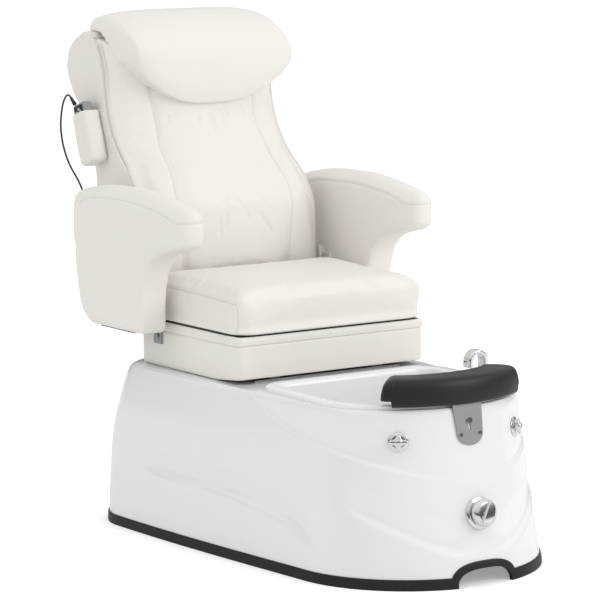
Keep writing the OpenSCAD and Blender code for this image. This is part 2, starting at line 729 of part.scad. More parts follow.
// A threaded neck through the wall with a nut behind it and a spindle in front
module neck(t, l) {
    translate([0, 0, -valve_back]) cylinder(r = tap_bore_r, h = valve_back + t);
    translate([0, 0, -wall_in - nut_t - over]) cylinder(r = tap_nut_r, h = nut_t);
    cylinder(r = spindle_r, h = t + l);
}
module tap_valves() color(chrome) both() {
    on_nose(tap_t, tap_z) neck(tap_plate_t, spindle_l);
    block(valve_c - [valve_w, valve_d, valve_h] / 2, valve_c + [valve_w, valve_d, valve_h] / 2);
}

module water_pipes() color(grey) {
    x = valve_c[0];
    y = valve_c[1];
    z = valve_c[2] - valve_h / 2;
    both() rod([x + port, y, inlet_z + inlet_h], [x + port, y, z], pipe_r);
    pipe([[port - x, y, z], [port - x, y, pipe_z], [x - port, y, pipe_z], [x - port, y, z]], pipe_r);
    pipe([[x - port, y, pipe_z], [spout_leg_x, spout_y - 2 * spout_z / 10, pipe_z],
        [spout_leg_x, spout_y, pipe_z], [spout_leg_x, spout_y, top_z - over]], pipe_r);
    rod([spout_leg_x, spout_y, top_z - over], [spout_leg_x, spout_y, rim_z], feed_r);
}
module water_inlets() color(chrome) both() translate([valve_c[0] + port, valve_c[1], inlet_z]) difference() {
    cylinder(r = inlet_r, h = inlet_h, $fn = 6);
    translate([0, 0, -over]) cylinder(r = pipe_r, h = inlet_h / 2);
}

module underframe() color(steel) {
    both() {
        block([frame_x - tube / 2, frame_y0, frame_z], [frame_x + tube / 2, frame_y1, frame_z + tube]);
        block([frame_x - tube / 2, post_y0 - tube / 2, top_z - tube],
            [frame_x + tube / 2, post_y1 + tube / 2, top_z]);
        for (y = [post_y0, post_y1])
            block([frame_x - tube / 2, y - tube / 2, frame_z + tube],
                [frame_x + tube / 2, y + tube / 2, top_z - tube]);
    }
    for (y = [frame_y0, frame_y1 - tube])
        block([tube / 2 - frame_x, y, frame_z], [frame_x - tube / 2, y + tube, frame_z + tube]);
    for (y = [post_y0, post_y1])
        block([tube / 2 - frame_x, y - tube / 2, top_z - tube], [frame_x - tube / 2, y + tube / 2, top_z]);
}
module levelling_feet() color(black) both() for (y = [frame_y0 + foot_in, frame_y1 - foot_in])
    translate([frame_x, y, 0]) {
        cylinder(r = foot_r, h = foot_h);
        cylinder(r = foot_stem_r, h = frame_z);
    }
module seat_platform() color(steel) block([-plate_x, plate_y0, deck_z], [plate_x, plate_y1, rail_z]);
module slide_rails() color(steel) both() difference() {
    block([rail_x - rail_w / 2, rail_y0, rail_z], [rail_x + rail_w / 2, rail_y1, run_z]);
    block([rail_x - rail_w / 2 + rail_wall, rail_y0 - over, rail_z + rail_wall],
        [rail_x + rail_w / 2 - rail_wall, rail_y1 + over, run_z - rail_wall]);
    block([rail_x - rail_mouth / 2, rail_y0 - over, run_z - rail_wall - over],
        [rail_x + rail_mouth / 2, rail_y1 + over, run_z + over]);
}
// A rod along Y
module y_rod(x, y0, y1, z, r) translate([x, y0, z]) rotate([-90, 0, 0]) cylinder(r = r, h = y1 - y0);
module slide_actuator() color(grey) difference() {
    union() {
        y_rod(-act_x, act_y0, act_y1, act_z, act_r);
        for (y = [act_y0 + act_bed, act_y1 - 2 * act_bed])
            block([-act_x - act_r, y, rail_z], [act_r - act_x, y + act_bed, act_z]);
        block([-act_x - act_r - act_wall, act_y1, rail_z],
            [act_r + act_wall - act_x, act_y1 + act_motor, act_z + act_r]);
    }
    y_rod(-act_x, act_y0 - over, act_y1 - act_wall, act_z, act_rod_r + fit);
}
psu_w = 160;
psu_l = 100;
psu_h = 60;
psu_out = 35;
module power_supply() color(grey)
    block([-psu_w / 2, frame_y1 + psu_out - psu_l, frame_z + tube],
        [psu_w / 2, frame_y1 + psu_out, frame_z + tube + psu_h]);
pin_x = 7;
pin_w = 2;
pin_h = 4;
module power_inlet() color(black) on_rear(inlet_x, socket_z) {
    difference() {
        union() {
            block([-socket_w / 2, 0, -socket_h / 2], [socket_w / 2, socket_lip, socket_h / 2]);
            block([-socket_body_w / 2, -socket_in, -socket_body_h / 2], [socket_body_w / 2, 0, socket_body_h / 2]);
        }
        block([socket_wall - socket_body_w / 2, socket_wall - socket_in, socket_wall - socket_body_h / 2],
            [socket_body_w / 2 - socket_wall, socket_lip + over, socket_body_h / 2 - socket_wall]);
    }
    for (x = [-pin_x, 0, pin_x])
        block([x - pin_w / 2, socket_wall - socket_in, -pin_h / 2], [x + pin_w / 2, -socket_lip, pin_h / 2]);
}
module footrest_screw() color(chrome) on_front(screw_z) rotate([90, 0, 0]) {
    translate([0, 0, bracket_t + 2 * gap]) cylinder(r = screw_head_r, h = screw_head_t);
    translate([0, 0, -screw_in]) cylinder(r = screw_r, h = screw_in + bracket_t + 2 * gap);
    translate([0, 0, -screw_in]) cylinder(r = 2 * screw_r, h = screw_in - wall_in - 2 * gap, $fn = 6);
}

// Footrest
brk_foot_w = bracket_w / 2 - brk_taper;
module bracket_plate() translate([0, -gap, 0]) rotate([90, 0, 0]) linear_extrude(bracket_t) polygon([
    [bracket_w / 2, brk_up], [-bracket_w / 2, brk_up],
    for (i = [0:brk_n]) let (t = 180 * i / brk_n)
        [-brk_foot_w * cos(t), brk_round - brk_low - brk_round * sin(t)]]);
module footrest_bracket() color(steel) on_front(screw_z) difference() {
    bracket_plate();
    for (z = [-pad_lift, 0]) translate([0, over, z]) rotate([90, 0, 0])
        cylinder(r = slot_r, h = bracket_t + gap + 2 * over);
    block([-slot_r, -bracket_t - gap - over, -pad_lift], [slot_r, over, 0]);
}
module bracket_rivets() color(chrome) both() on_front(screw_z)
    translate([rivet_x, -gap - bracket_t, -rivet_down]) rotate([90, 0, 0]) cylinder(r = rivet_r, h = rivet_t);
apron_share = 0.07;
function pad_f(u) = lookup(min(u, 1 - u), pad_end_share);
function pad_at(u, s, h) = let (t = pad_angle * (2 * u - 1), f = pad_f(u), k = 0.5 + (s - 0.5) * f,
    a = pad_a - pad_d * (1 - k), b = pad_b - pad_d * (1 - k))
    [a * sin(t), nose_y - b * cos(t), h];
pad_u_share = [0, 0.01, 0.025, 0.05, 0.068, 0.072];
apron_s = 1 - apron_t / pad_d;
module footrest_pad() color(black) difference() {
    loft([for (u = [each pad_u_share, for (i = [1:pad_n - 1]) lerp(0.072, 0.928, i / pad_n),
            for (i = [len(pad_u_share) - 1:-1:0]) 1 - pad_u_share[i]])
        let (e = min(u, 1 - u) < apron_share, base = pad_z + (e ? end_lift : 0), low = base - apron_drop,
            h = (pad_h + pad_z - base) * pad_f(u))
        [for (p = pad_sec) pad_at(u, p[0], base + h * p[1]),
         pad_at(u, 1, low), pad_at(u, apron_s, low), pad_at(u, apron_s, base)]]);
    on_front(screw_z) bracket_plate();
}
// Knobs, drain knob and plug
module tap_knob() on_nose(tap_t, tap_z) translate([0, 0, tap_plate_t + gap]) difference() {
    union() {
        cylinder(r = tap_hub_r, h = tap_hub_l);
        hull() {
            translate([0, 0, tap_hub_l - tap_ear_h]) cylinder(r = tap_hub_r + gap, h = tap_ear_h, $fn = 32);
            for (s = [-1, 1]) translate([s * (tap_span / 2 - tap_ear_r / 2), 0, tap_hub_l - tap_ear_h * dome_share])
                cylinder(r = tap_ear_r / 2, h = tap_ear_h / 2, $fn = 16);
        }
        translate([0, 0, tap_hub_l]) cylinder(r1 = tap_hub_r * dome_share, r2 = tap_hub_r / 2, h = rose_t);
    }
    translate([0, 0, -over]) cylinder(r = spindle_r + fit, h = spindle_l + over);
}
module knob_left() color(chrome) mirror([1, 0, 0]) tap_knob();
module knob_right() color(chrome) tap_knob();
module drain_knob() color(chrome) on_nose(0, drain_z) translate([0, 0, drain_plate_t + gap]) difference() {
    union() {
        cylinder(r = drain_knob_d / 2 * dome_share, h = drain_hub_l);
        translate([0, 0, drain_hub_l - drain_face]) cylinder(r = drain_knob_d / 2, h = drain_face);
        translate([0, 0, drain_hub_l])
            cylinder(r1 = drain_knob_d / 2, r2 = drain_knob_d / 2 * dome_share, h = drain_face / 2);
    }
    // A sloping flat across the face shows which way the knob is turned
    translate([0, 0, drain_hub_l + drain_face / 2]) rotate([lever_half * 2, 0, 0])
        block([-drain_knob_d, 0, -drain_face / 3], [drain_knob_d, drain_knob_d, drain_knob_d]);
    translate([0, 0, -over]) cylinder(r = spindle_r + fit, h = drain_spindle_l + over);
}
plug_gap = 0.1;
module drain_plug() color(chrome) translate([0, drain_y, 0]) {
    translate([0, 0, basin_z + drain_flange + plug_gap]) cylinder(r = plug_d / 2, h = plug_t);
    translate([0, 0, guide_z - stem_r])
        cylinder(r = stem_r, h = basin_z + drain_flange + plug_gap - guide_z + stem_r);
}

// Seat
module seat_frame() color(steel) {
    both() block([side_x0, plate_y0, frame_low], [side_x1, cross_y, board_z]);
    for (y = [plate_y0, rec_y0 - rec_motor, mid_y + tube])
        block([-side_x0, y, frame_low], [side_x0, y + tube, board_z]);
    block([-plate_x0, cross_y, frame_low], [plate_x0, cross_y + cross_w, board_z]);
}
module runner_rails() color(steel) both() {
    block([rail_x - rail_w / 2 + rail_wall + run_gap, run_y0, rail_z + rail_wall + run_gap],
        [rail_x + rail_w / 2 - rail_wall - run_gap, rail_y1, run_z - rail_wall - run_gap]);
    block([rail_x - run_web / 2, run_y0, run_z - 2 * rail_wall], [rail_x + run_web / 2, rail_y1, run_z + over]);
    block([rail_x - rail_w / 2, rail_y0, run_z + gap], [rail_x + rail_w / 2, rail_y1, frame_low]);
}
module slide_rod() color(chrome) {
    y_rod(-act_x, lug_y, act_y1 - rod_tail, act_z, act_rod_r);
    block([-act_x - lug_w / 2, lug_y, act_z - lug_w / 2], [lug_w / 2 - act_x, lug_y + lug_t, frame_low]);
}

// A rounded rectangle, anticlockwise
corner_n = 5;
function rrect(x0, y0, x1, y1, r) = [for (q = [0:3]) let (cx = q == 0 || q == 3 ? x1 - r : x0 + r,
    cy = q < 2 ? y1 - r : y0 + r) for (i = [0:corner_n]) let (t = 90 * (q + i / corner_n))
    [cx + r * cos(t), cy + r * sin(t)]];
// Points along the straight sides as well, so that a crown can follow them
function eased(p, n) = [for (i = [0:len(p) - 1]) let (a = p[i], b = p[(i + 1) % len(p)])
    each (i + 1) % (corner_n + 1) == 0 ? [for (k = [0:n - 1]) lerp(a, b, k / n)] : [a]];
cushion_r = 22;
// The corners are rounder at the bottom of the cushion
under_round_share = [[0, 2.6], [0.25, 1.7], [0.5, 1.2], [0.78, 1], [1, 1]];
board_r = 58;
module seat_board() color(black) translate([0, 0, board_z]) linear_extrude(board_t)
    polygon(rrect(board_in - seat_hw, seat_y0 + 2 * board_in, seat_hw - board_in, seat_y1, board_r));
// Levels of the cushion: [inset share of its depth, height share of its side, crown share]
cushion_share = [[0.014, 0, 0], [0.002, 0.06, 0], [0.003, 0.25, 0], [0.008, 0.5, 0], [0.003, 0.78, 0],
    [0.006, 0.93, 0], [0.013, 0.98, 0], [0.006, 1, 0.04], [0.02, 1, 0.2], [0.05, 1, 0.42], [0.1, 1, 0.64],
    [0.17, 1, 0.82], [0.25, 1, 0.93], [0.34, 1, 0.99], [0.42, 1, 1]];
module seat_cushion() color(ivory) loft([for (s = cushion_share) let (d = s[0] * seat_d,
    r = cushion_r * (1 - s[0]) * lookup(s[1], under_round_share))
    [for (p = eased(rrect(d - seat_hw, seat_y0 + d, seat_hw - d, seat_y1 - d, r), 4))
        [p[0], p[1], cush_z + cushion_h * s[1] + seam_rise * s[1] * (p[1] - seat_y0) / seat_d + crown_h * s[2]]]]);

module skirt_form(d, z0, z1) translate([0, 0, z0]) linear_extrude(z1 - z0)
    polygon(rrect(d - skirt_hw, skirt_y0 + d, skirt_hw - d, skirt_y1 - d, skirt_r - d));
// A flat outline in the YZ plane between two places along X
module side_form(x0, x1, p) translate([x0, 0, 0]) rotate([90, 0, 90]) linear_extrude(x1 - x0) polygon(p);
module seat_skirt() color(cream) difference() {
    union() {
        skirt_form(skirt_step, skirt_low, board_z);
        skirt_form(0, board_z - skirt_band, board_z);
    }
    skirt_form(skirt_step + skirt_t, skirt_low - over, board_z + over);
    side_form(-seat_hw, seat_hw, [[skirt_y0 - over, skirt_low - over], [skirt_y0 + skirt_flat, skirt_low - over],
        [skirt_y0 + skirt_flat, skirt_low], [skirt_y0 + skirt_step, skirt_low + skirt_lift],
        [skirt_y0 - over, skirt_low + skirt_lift]]);
    block([skirt_r - skirt_hw, skirt_y1 - skirt_r, skirt_low - over],
        [skirt_hw - skirt_r, skirt_y1 + over, board_z + over]);
    block([-plate_x0, cross_y - gap, frame_low - gap], [plate_x0, skirt_y1 + over, board_z + over]);
}
plate_front = 70;
plate_rear = 40;
plate_waist = 35;
plate_head = 25;
plate_over = 20;
module arm_plates() color(ivory) both() difference() {
    side_form(plate_x0, plate_x1, [[hinge_y - plate_front, frame_low], [hinge_y + plate_rear, frame_low],
        [hinge_y + plate_waist, hinge_z], [arm_y + plate_head, arm_z + plate_over],
        [arm_y - plate_head, arm_z + plate_over], [hinge_y - plate_waist, hinge_z]]);
    for (p = [[hinge_y, hinge_z], [arm_y, arm_z]]) x_rod(plate_x0 - over, plate_x1 + over, p[0], p[1], pin_r);
}
// A rod along X
module x_rod(x0, x1, y, z, r) translate([x0, y, z]) rotate([0, 90, 0]) cylinder(r = r, h = x1 - x0);
bolt_r = 6;
bolt_t = 3;
module arm_stops() color(steel) both() {
    top = arm_low - flange_t - gap;
    block([skirt_hw, stop_y0, top - stop_t - stop_h], [skirt_hw + stop_t, stop_y1, top]);
    block([skirt_hw - skirt_step, stop_y0, top - stop_t - stop_h], [skirt_hw, stop_y1, board_z - skirt_band]);
    block([skirt_hw + stop_t, stop_y0, top - stop_t], [arm_x0 + stop_reach, stop_y1, top]);
    x_rod(skirt_hw + stop_t, skirt_hw + stop_t + bolt_t, (stop_y0 + stop_y1) / 2, top - stop_h / 2, bolt_r);
}
module recline_actuator() color(grey) difference() {
    union() {
        y_rod(rec_x, rec_y0, rec_y1, rec_z, rec_r);
        block([rec_x - rec_r - rec_wall, rec_y0 - rec_motor, rec_z - rec_r - 2 * rec_wall],
            [rec_x + rec_r + rec_wall, rec_y0, frame_low]);
    }
    y_rod(rec_x, rec_y0 + rec_wall, rec_y1 + over, rec_z, rec_rod_r + fit);
}
head_t = 5;
module hinge_pins() color(chrome) both() {
    x_rod(member_x1 - pin_in, plate_x1 + head_t, hinge_y, hinge_z, pin_r);
    x_rod(hub_x1 + gap, plate_x0, hinge_y, hinge_z, collar_r);
    x_rod(plate_x1, plate_x1 + head_t, hinge_y, hinge_z, collar_r);
}
module arm_pins() color(chrome) both() {
    x_rod(plate_x0 - head_t, arm_x0 - gap, arm_y, arm_z, pin_r);
    x_rod(plate_x0 - head_t, plate_x0, arm_y, arm_z, collar_r);
}
module recline_rod() color(chrome) {
    y0 = pin_rest_y - fork_back;
    y_rod(rec_x, rec_y1 - rod_in, y0, rec_z, rec_rod_r);
    difference() {
        block([fork_x0, y0 - fork_r, rec_z - fork_h / 2], [fork_x1, pin_rest_y + fork_r, rec_z + fork_h / 2]);
        block([fork_x0 + fork_t, y0, rec_z - fork_h], [fork_x1 - fork_t, pin_rest_y + 2 * fork_r, rec_z + fork_h]);
        block([fork_x0 - over, pin_rest_y - lever_pin_r - gap, hinge_z - lever - lever_pin_r - gap],
            [fork_x1 + over, pin_rest_y + lever_pin_r + gap, pin_rest_z + lever_pin_r + gap]);
    }
}

// Backrest
member_foot = 14;
module back_frame() color(steel) {
    on_back() {
        both() difference() {
            union() {
                side_form(member_x0, member_x1, [[-member_foot, -member_foot / 2],
                    [member_foot, -member_foot], [member_y1, member_rise - member_foot], [member_y1, member_up],
                    [member_y0, member_up], [member_y0, member_rise]]);
                x_rod(member_x0, hub_x1, 0, 0, hub_r);
            }
            x_rod(member_x1 - pin_in - over, hub_x1 + over, 0, 0, pin_r + fit);
        }
        x_rod(-member_x0, member_x0, 0, 0, torsion_r);
        for (w = [cross_w0, cross_w1]) block([-member_x0, member_y0, w], [member_x0, cross_y1, w + cross_t]);
    }
    translate([0, hinge_y, hinge_z]) rotate([lever_half, 0, 0]) {
        block([rec_x - lever_t / 2, -lever_w, -lever], [rec_x + lever_t / 2, lever_w, 0]);
        x_rod(rec_x - lever_t / 2, rec_x + lever_t / 2, 0, -lever, lever_w);
        x_rod(fork_x0 - over, fork_x1 + over, 0, -lever, lever_pin_r);
    }
}
slot_half = 16;
pad_low = shell_z(pad_rise_share[0]);
module back_shell() color(cream) difference() {
    loft([for (u = shell_rise_share) shell_ring(shell_z(u), u == shell_rise_share[len(shell_rise_share) - 1]
        ? back_t / 2 : 0, 0)]);
    loft([for (u = shell_rise_share) let (z = lerp(shell_low + back_t, shell_top - back_t, (u - shell_rise_share[0])
        / (shell_rise_share[len(shell_rise_share) - 1] - shell_rise_share[0])))
        shell_ring(z, back_t, z < pad_low ? -back_t : over)]);
    both() x_rod(member_x1 - over, back_hw + over, hinge_y, hinge_z, hub_r);
    block([rec_x - lever_t, hinge_y - slot_half / 2, shell_low - over],
        [rec_x + lever_t, hinge_y + 2 * slot_half, shell_low + back_t + over]);
}
module back_cushion() color(ivory) loft([for (u = pad_rise_share) let (z = shell_z(u), w = pad_w_at(z))
    [for (s = across_share) [s * w, pad_front(s * w, z), z],
     for (s = [1, 0, -1]) [s * (w - pad_tuck), pad_y(z) + pad_edge, z]]]);

// Head pillow: outer points from the rear over the ridge to the lower edge of the flap, then back
// up along the pad and over its top
sweep = 24;
end_drop = 24;
flap_front_share = 0.055;
flap_curl_share = 0.018;
pillow_top_share = [[0.94, 0.352], [0.962, 0.348], [0.984, 0.328], [0.99, 0.295], [0.988, 0.25],
    [0.976, 0.188], [0.95, 0.13], [0.91, 0.083], [0.87, 0.06]];
pillow_ease = 2.5;
under_share = [0.352, 0.335, 0.32, 0.305, 0.293];
// Width of the pillow: narrower along the ridge than at its flap
pillow_wide_share = [[0.7, 1.03], [0.8, 1.05], [0.86, 1.03], [0.9, 0.965], [0.93, 0.93], [0.97, 0.93],
    [1, 0.955]];
function pillow_w(z) = pillow_hw * lookup((z - hinge_z) / back_h, pillow_wide_share);
pad_top = shell_z(pad_rise_share[len(pad_rise_share) - 1]);
flap_n = 4;
round_share = 0.06;
end_power = 8;
drop_power = 5;
function flap_low(s) = hinge_z + pillow_low + pillow_arc * pow(abs(s), pillow_arc_power);
function pillow_out(k, s) = let (n = len(pillow_top_share), q = (k - n + 1) / flap_n, b = pow(abs(s), end_power),
    c = pow(abs(s), drop_power))
    k < n ? [hinge_y + back_h * pillow_top_share[k][1] + sweep * b * smooth((k - 2) / (n - 3)),
        hinge_z + back_h * pillow_top_share[k][0] - end_drop * c * smooth(min(k, n - 1 - k) / 3)]
    : [hinge_y + back_h * (flap_front_share + flap_curl_share * pow(q, 3)) + sweep * b,
        lerp(hinge_z + back_h * pillow_top_share[n - 1][0], flap_low(s), q)];
function pillow_in(k, s) = let (n = len(under_share), m = len(pillow_top_share) + flap_n - n,
    z = k == n ? pad_top : lerp(pad_top, flap_low(s) + pad_tuck, (k - n) / (m - 1)))
    k < n - 1 ? [hinge_y + back_h * under_share[k], shell_top + gap]
    : k == n - 1 ? [pad_y(pad_top) + pad_edge - pad_tuck, shell_top + gap]
    : [pad_y(z) - pad_c(z) * max(0, 1 - pow(abs(s) * pillow_w(z) / pad_w_at(z), crown_power)) - pillow_ease,
        k == n ? pad_top + gap : z];
function pillow_e(s) = let (t = max(0, (abs(s) - 1 + round_share) / round_share)) max(0.3, sqrt(1 - t * t));
function pillow_p(s, p) = [s * pillow_w(p[1]), each p];
module head_pillow() color(ivory) loft([for (i = [0:2 * pillow_n]) let (v = i / pillow_n - 1,
    s = sign(v) * (1 - pow(1 - abs(v), 1.5)), n = len(pillow_top_share) + flap_n)
    [for (k = [0:n - 1]) pillow_p(s, lerp(pillow_in(k, s), pillow_out(k, s), pillow_e(s))),
     for (k = [n - 1:-1:0]) pillow_p(s, pillow_in(k, s))]], true);

// Side pocket on the left, the remote control in it and its cable to a gland in the shell
pocket_r = 12;
module pocket_form(d) polygon(rrect(-back_hw - pocket_w + d, pocket_y0 + d, -back_hw - d,
    pocket_y1 - d, pocket_r - d));
module side_pocket() color(cream) on_back() difference() {
    translate([0, 0, pocket_z0]) linear_extrude(pocket_z1 - pocket_z0) union() {
        pocket_form(0);
        translate([-back_hw - pocket_r, pocket_y0]) square([pocket_r, pocket_y1 - pocket_y0]);
    }
    translate([0, 0, pocket_z0 + pocket_floor]) linear_extrude(pocket_z1 - pocket_z0) pocket_form(pocket_t);
}
remote_z = pocket_z0 + pocket_floor;
module remote_control() color(grey) on_back() translate([0, 0, remote_z]) {
    linear_extrude(remote_l) polygon(rrect(-remote_x0 - remote_t, remote_y0, -remote_x0, remote_y1, remote_r));
    block([-remote_x0 - remote_t - gap, remote_y0 + remote_r, remote_r],
        [-remote_x0 - remote_t, remote_y1 - remote_r, remote_l - remote_r]);
}
function unit(v) = v / norm(v);
cable_out = unit(cable_points[1] - cable_points[0]);
module remote_relief() color(black) difference() {
    translate(cable_points[0]) rotate([0, acos(cable_out[2]), atan2(cable_out[1], cable_out[0])])
        translate([0, 0, -relief_h - over]) cylinder(r1 = 2 * cable_r, r2 = relief_r, h = relief_h + over);
    on_back() translate([0, 0, remote_z]) linear_extrude(remote_l)
        polygon(rrect(-remote_x0 - remote_t, remote_y0, -remote_x0, remote_y1, remote_r));
}
// A tube swept along points without twist
function tangent(p, i) = unit(p[min(i + 1, len(p) - 1)] - p[max(i - 1, 0)]);
function carried(n, t) = unit(n - t * (n * t));
function frames(p, n, i) = i == len(p) ? [] : let (m = carried(n, tangent(p, i))) [m, each frames(p, m, i + 1)];
module swept(p, r, k) {
    f = frames(p, [1, 0, 0], 0);
    loft([for (i = [0:len(p) - 1]) let (t = tangent(p, i), b = cross(t, f[i]))
        [for (j = [0:k - 1]) p[i] + r * (cos(360 * j / k) * f[i] + sin(360 * j / k) * b)]]);
}
module remote_cable() color(black) swept(cable_points, cable_r, cable_side);
gland = cable_points[len(cable_points) - 1];
module cable_gland() color(black) x_rod(gland[0], -back_hw, gland[1], gland[2], gland_r);

module massage_rails() color(chrome) on_back() {
    for (x = [-rod_x, rod_x]) translate([x, rod_y, cross_w0 + cross_t])
        cylinder(r = rod_r, h = cross_w1 - cross_w0 - cross_t);
    translate([0, rod_y, cross_w0 + cross_t]) cylinder(r = screw_rod_r, h = cross_w1 - cross_w0 - cross_t);
}
well = 3;
module massage_carriage() color(grey) on_back() difference() {
    union() {
        block([-car_hw, car_y0, car_w0], [car_hw, car_y1, car_w0 + car_h]);
        both() {
            block([ear_x0, axle_y, axle_w - ear_half], [ear_x0 + ear_t, car_y0, axle_w + ear_half]);
            x_rod(ear_x0, ear_x0 + ear_t, axle_y, axle_w, ear_half);
        }
    }
    both() block([roller_x0 - well, 0, axle_w - roller_r - well],
        [roller_x0 + roller_t + well, axle_y + roller_r + well, axle_w + roller_r + well]);
    both() translate([rod_x, rod_y, car_w0 - over]) cylinder(r = rod_r + fit, h = car_h + 2 * over);
    translate([0, rod_y, car_w0 - over]) cylinder(r = screw_rod_r + fit, h = car_h + 2 * over);
    x_rod(-car_hw, car_hw, axle_y, axle_w, axle_r + fit);
}
module massage_rollers() color(black) on_back() {
    both() x_rod(roller_x0, roller_x0 + roller_t, axle_y, axle_w, roller_r);
    x_rod(-ear_x0 - ear_t, ear_x0 + ear_t, axle_y, axle_w, axle_r);
}

// Armrests
arm_mid = arm_x0 + arm_w / 2;
function arm_in(u) = let (c = 1 - 2 * arm_round / arm_w, t = max(0, (abs(u) - c) / (1 - c)))
    arm_round * (1 - sqrt(max(0, 1 - t * t)));
function arm_p(s, u) = let (e = arm_in(u))
    [arm_y + arm_l * s[0] + arm_bulge * s[2] * (1 - pow(abs(u), crown_power)) + e * s[3],
     arm_z + arm_l * s[1] + e * s[4]];
function seam_p(s) = [arm_y + arm_l * s[0], arm_z + arm_l * s[1]];
arm_end = len(arm_share) - 1;
module arm_body() color(ivory) loft([for (u = arm_side_share)
    [for (s = arm_share) [arm_mid + u * arm_w / 2, each arm_p(s, u)],
     for (s = top_share) [arm_mid + u * arm_w / 2, each seam_p(s)]]]);
crown_edge_share = 0.12;
pad_end_in = 6;
module arm_pad() color(ivory) loft([for (u = arm_side_share) let (x = arm_mid + u * arm_w / 2,
    h = arm_crown * (crown_edge_share + (1 - crown_edge_share) * pow(1 - pow(abs(u), crown_power), 0.8)),
    a = arm_p(arm_share[0], u), b = arm_p(arm_share[arm_end], u))
    [[x, each a], for (i = [len(top_share) - 1:-1:0]) [x, each seam_p(top_share[i])], [x, each b],
     [x, b[0] - pad_end_in / 2, b[1] + h / 3], [x, b[0] - 3 * pad_end_in, b[1] + h * 0.75],
     for (i = [1:len(top_share) - 2]) [x, each seam_p(top_share[i]) + [0, h]],
     [x, a[0] + 2 * pad_end_in, a[1] + h * 0.85], [x, a[0], a[1] + h / 3]]], true);
brk_low_y0 = 180;
brk_low_y1 = 20;
brk_mid_y = 70;
brk_edge = 5;
module arm_bracket() color(black) difference() {
    union() {
        block([arm_x0 - brk_plate_t, hinge_y - brk_low_y0, arm_low - flange_t],
            [arm_x0 + arm_w - brk_edge, hinge_y + brk_low_y1, arm_low]);
        side_form(arm_x0 - brk_plate_t, arm_x0, [[hinge_y - brk_mid_y, arm_low - flange_t],
            [hinge_y + brk_low_y1, arm_low - flange_t], [arm_y + hub_r, arm_z], [arm_y, arm_z + hub_r],
            [arm_y - hub_r, arm_z]]);
        x_rod(arm_x0 - arm_hub_t, arm_x0, arm_y, arm_z, hub_r);
    }
    x_rod(arm_x0 - arm_hub_t - over, arm_x0 + over, arm_y, arm_z, pin_r + fit);
}
module arm_body_left() mirror([1, 0, 0]) arm_body();
module arm_pad_left() mirror([1, 0, 0]) arm_pad();
module arm_bracket_left() mirror([1, 0, 0]) arm_bracket();
module arm_body_right() arm_body();
module arm_pad_right() arm_pad();
module arm_bracket_right() arm_bracket();

base_shell();
edge_trim();
foot_basin();
waterfall_spout();
drain_fitting();
drain_pipe();
drain_cable();
knob_escutcheons();
drain_escutcheon();
tap_valves();
water_pipes();
water_inlets();
underframe();
levelling_feet();
seat_platform();
slide_rails();
slide_actuator();
power_supply();
power_inlet();
footrest_screw();
footrest_pad();
footrest_bracket();
bracket_rivets();
knob_left();
knob_right();
drain_knob();
drain_plug();
seat_frame();
runner_rails();
slide_rod();
seat_board();
seat_cushion();
seat_skirt();
arm_plates();
arm_stops();
recline_actuator();
hinge_pins();
arm_pins();
recline_rod();
back_frame();
back_shell();
back_cushion();
head_pillow();
side_pocket();
remote_control();
remote_relief();
remote_cable();
cable_gland();
massage_rails();
massage_carriage();
massage_rollers();
arm_body_left();
arm_pad_left();
arm_bracket_left();
arm_body_right();
arm_pad_right();
arm_bracket_right();
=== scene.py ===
import bpy
import math
from bisect import bisect
from mathutils import Matrix, Vector
from mathutils.kdtree import KDTree


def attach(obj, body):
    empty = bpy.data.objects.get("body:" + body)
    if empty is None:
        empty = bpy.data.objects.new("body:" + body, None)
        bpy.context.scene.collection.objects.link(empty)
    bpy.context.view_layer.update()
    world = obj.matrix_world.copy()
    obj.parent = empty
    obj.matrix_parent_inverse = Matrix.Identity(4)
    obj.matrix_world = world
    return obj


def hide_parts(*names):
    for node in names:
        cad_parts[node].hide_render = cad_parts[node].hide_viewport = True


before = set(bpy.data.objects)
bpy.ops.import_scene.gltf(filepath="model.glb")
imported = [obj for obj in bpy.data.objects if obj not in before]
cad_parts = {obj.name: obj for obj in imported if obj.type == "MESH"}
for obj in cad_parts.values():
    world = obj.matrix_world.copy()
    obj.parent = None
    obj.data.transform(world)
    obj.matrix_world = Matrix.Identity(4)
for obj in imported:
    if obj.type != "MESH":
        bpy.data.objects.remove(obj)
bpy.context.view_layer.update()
print("frame loaded")

# Everything is in metres; the front is towards -Y, up is +Z
hinge = (0.5, 0.56)  # backrest hinge, y and z
lean = math.radians(18.9)
white = (1, 1, 1, 1)


def clearSelection():
    bpy.ops.object.select_all(action="DESELECT")


def chosen(piece):
    # the piece alone is selected and active
    clearSelection()
    piece.select_set(True)
    bpy.context.view_layer.objects.active = piece


def named(name):
    # the primitive that was just added, under its own name
    piece = bpy.context.object
    piece.name = name
    piece.data.name = name
    return piece


def ease(t):
    # a smooth step from 0 to 1
    t = min(1.0, max(0.0, t))
    return t * t * (3 - 2 * t)


def blendOf(a, b, t):
    return a + (b - a) * t


def curveThrough(points, column=1):
    # smooth curve through the points that never overshoots them
    xs = [p[0] for p in points]
    ys = [p[column] for p in points]
    steps = [b - a for a, b in zip(xs, xs[1:])]
    slopes = [(d - c) / s for c, d, s in zip(ys, ys[1:], steps)]
    turns = [slopes[0]]
    for before, after, s, n in zip(slopes, slopes[1:], steps, steps[1:]):
        if before * after <= 0:
            turns.append(0.0)
        else:
            turns.append(3 * (s + n) / ((2 * n + s) / before + (n + 2 * s) / after))
    turns.append(slopes[-1])

    def at(x):
        if x <= xs[0]:
            return ys[0]
        if x >= xs[-1]:
            return ys[-1]
        i = bisect(xs, x) - 1
        s = steps[i]
        t = (x - xs[i]) / s
        return (
            ys[i] * (1 + 2 * t) * (1 - t) ** 2
            + turns[i] * s * t * (1 - t) ** 2
            + ys[i + 1] * t * t * (3 - 2 * t)
            + turns[i + 1] * s * t * t * (t - 1)
        )

    return at


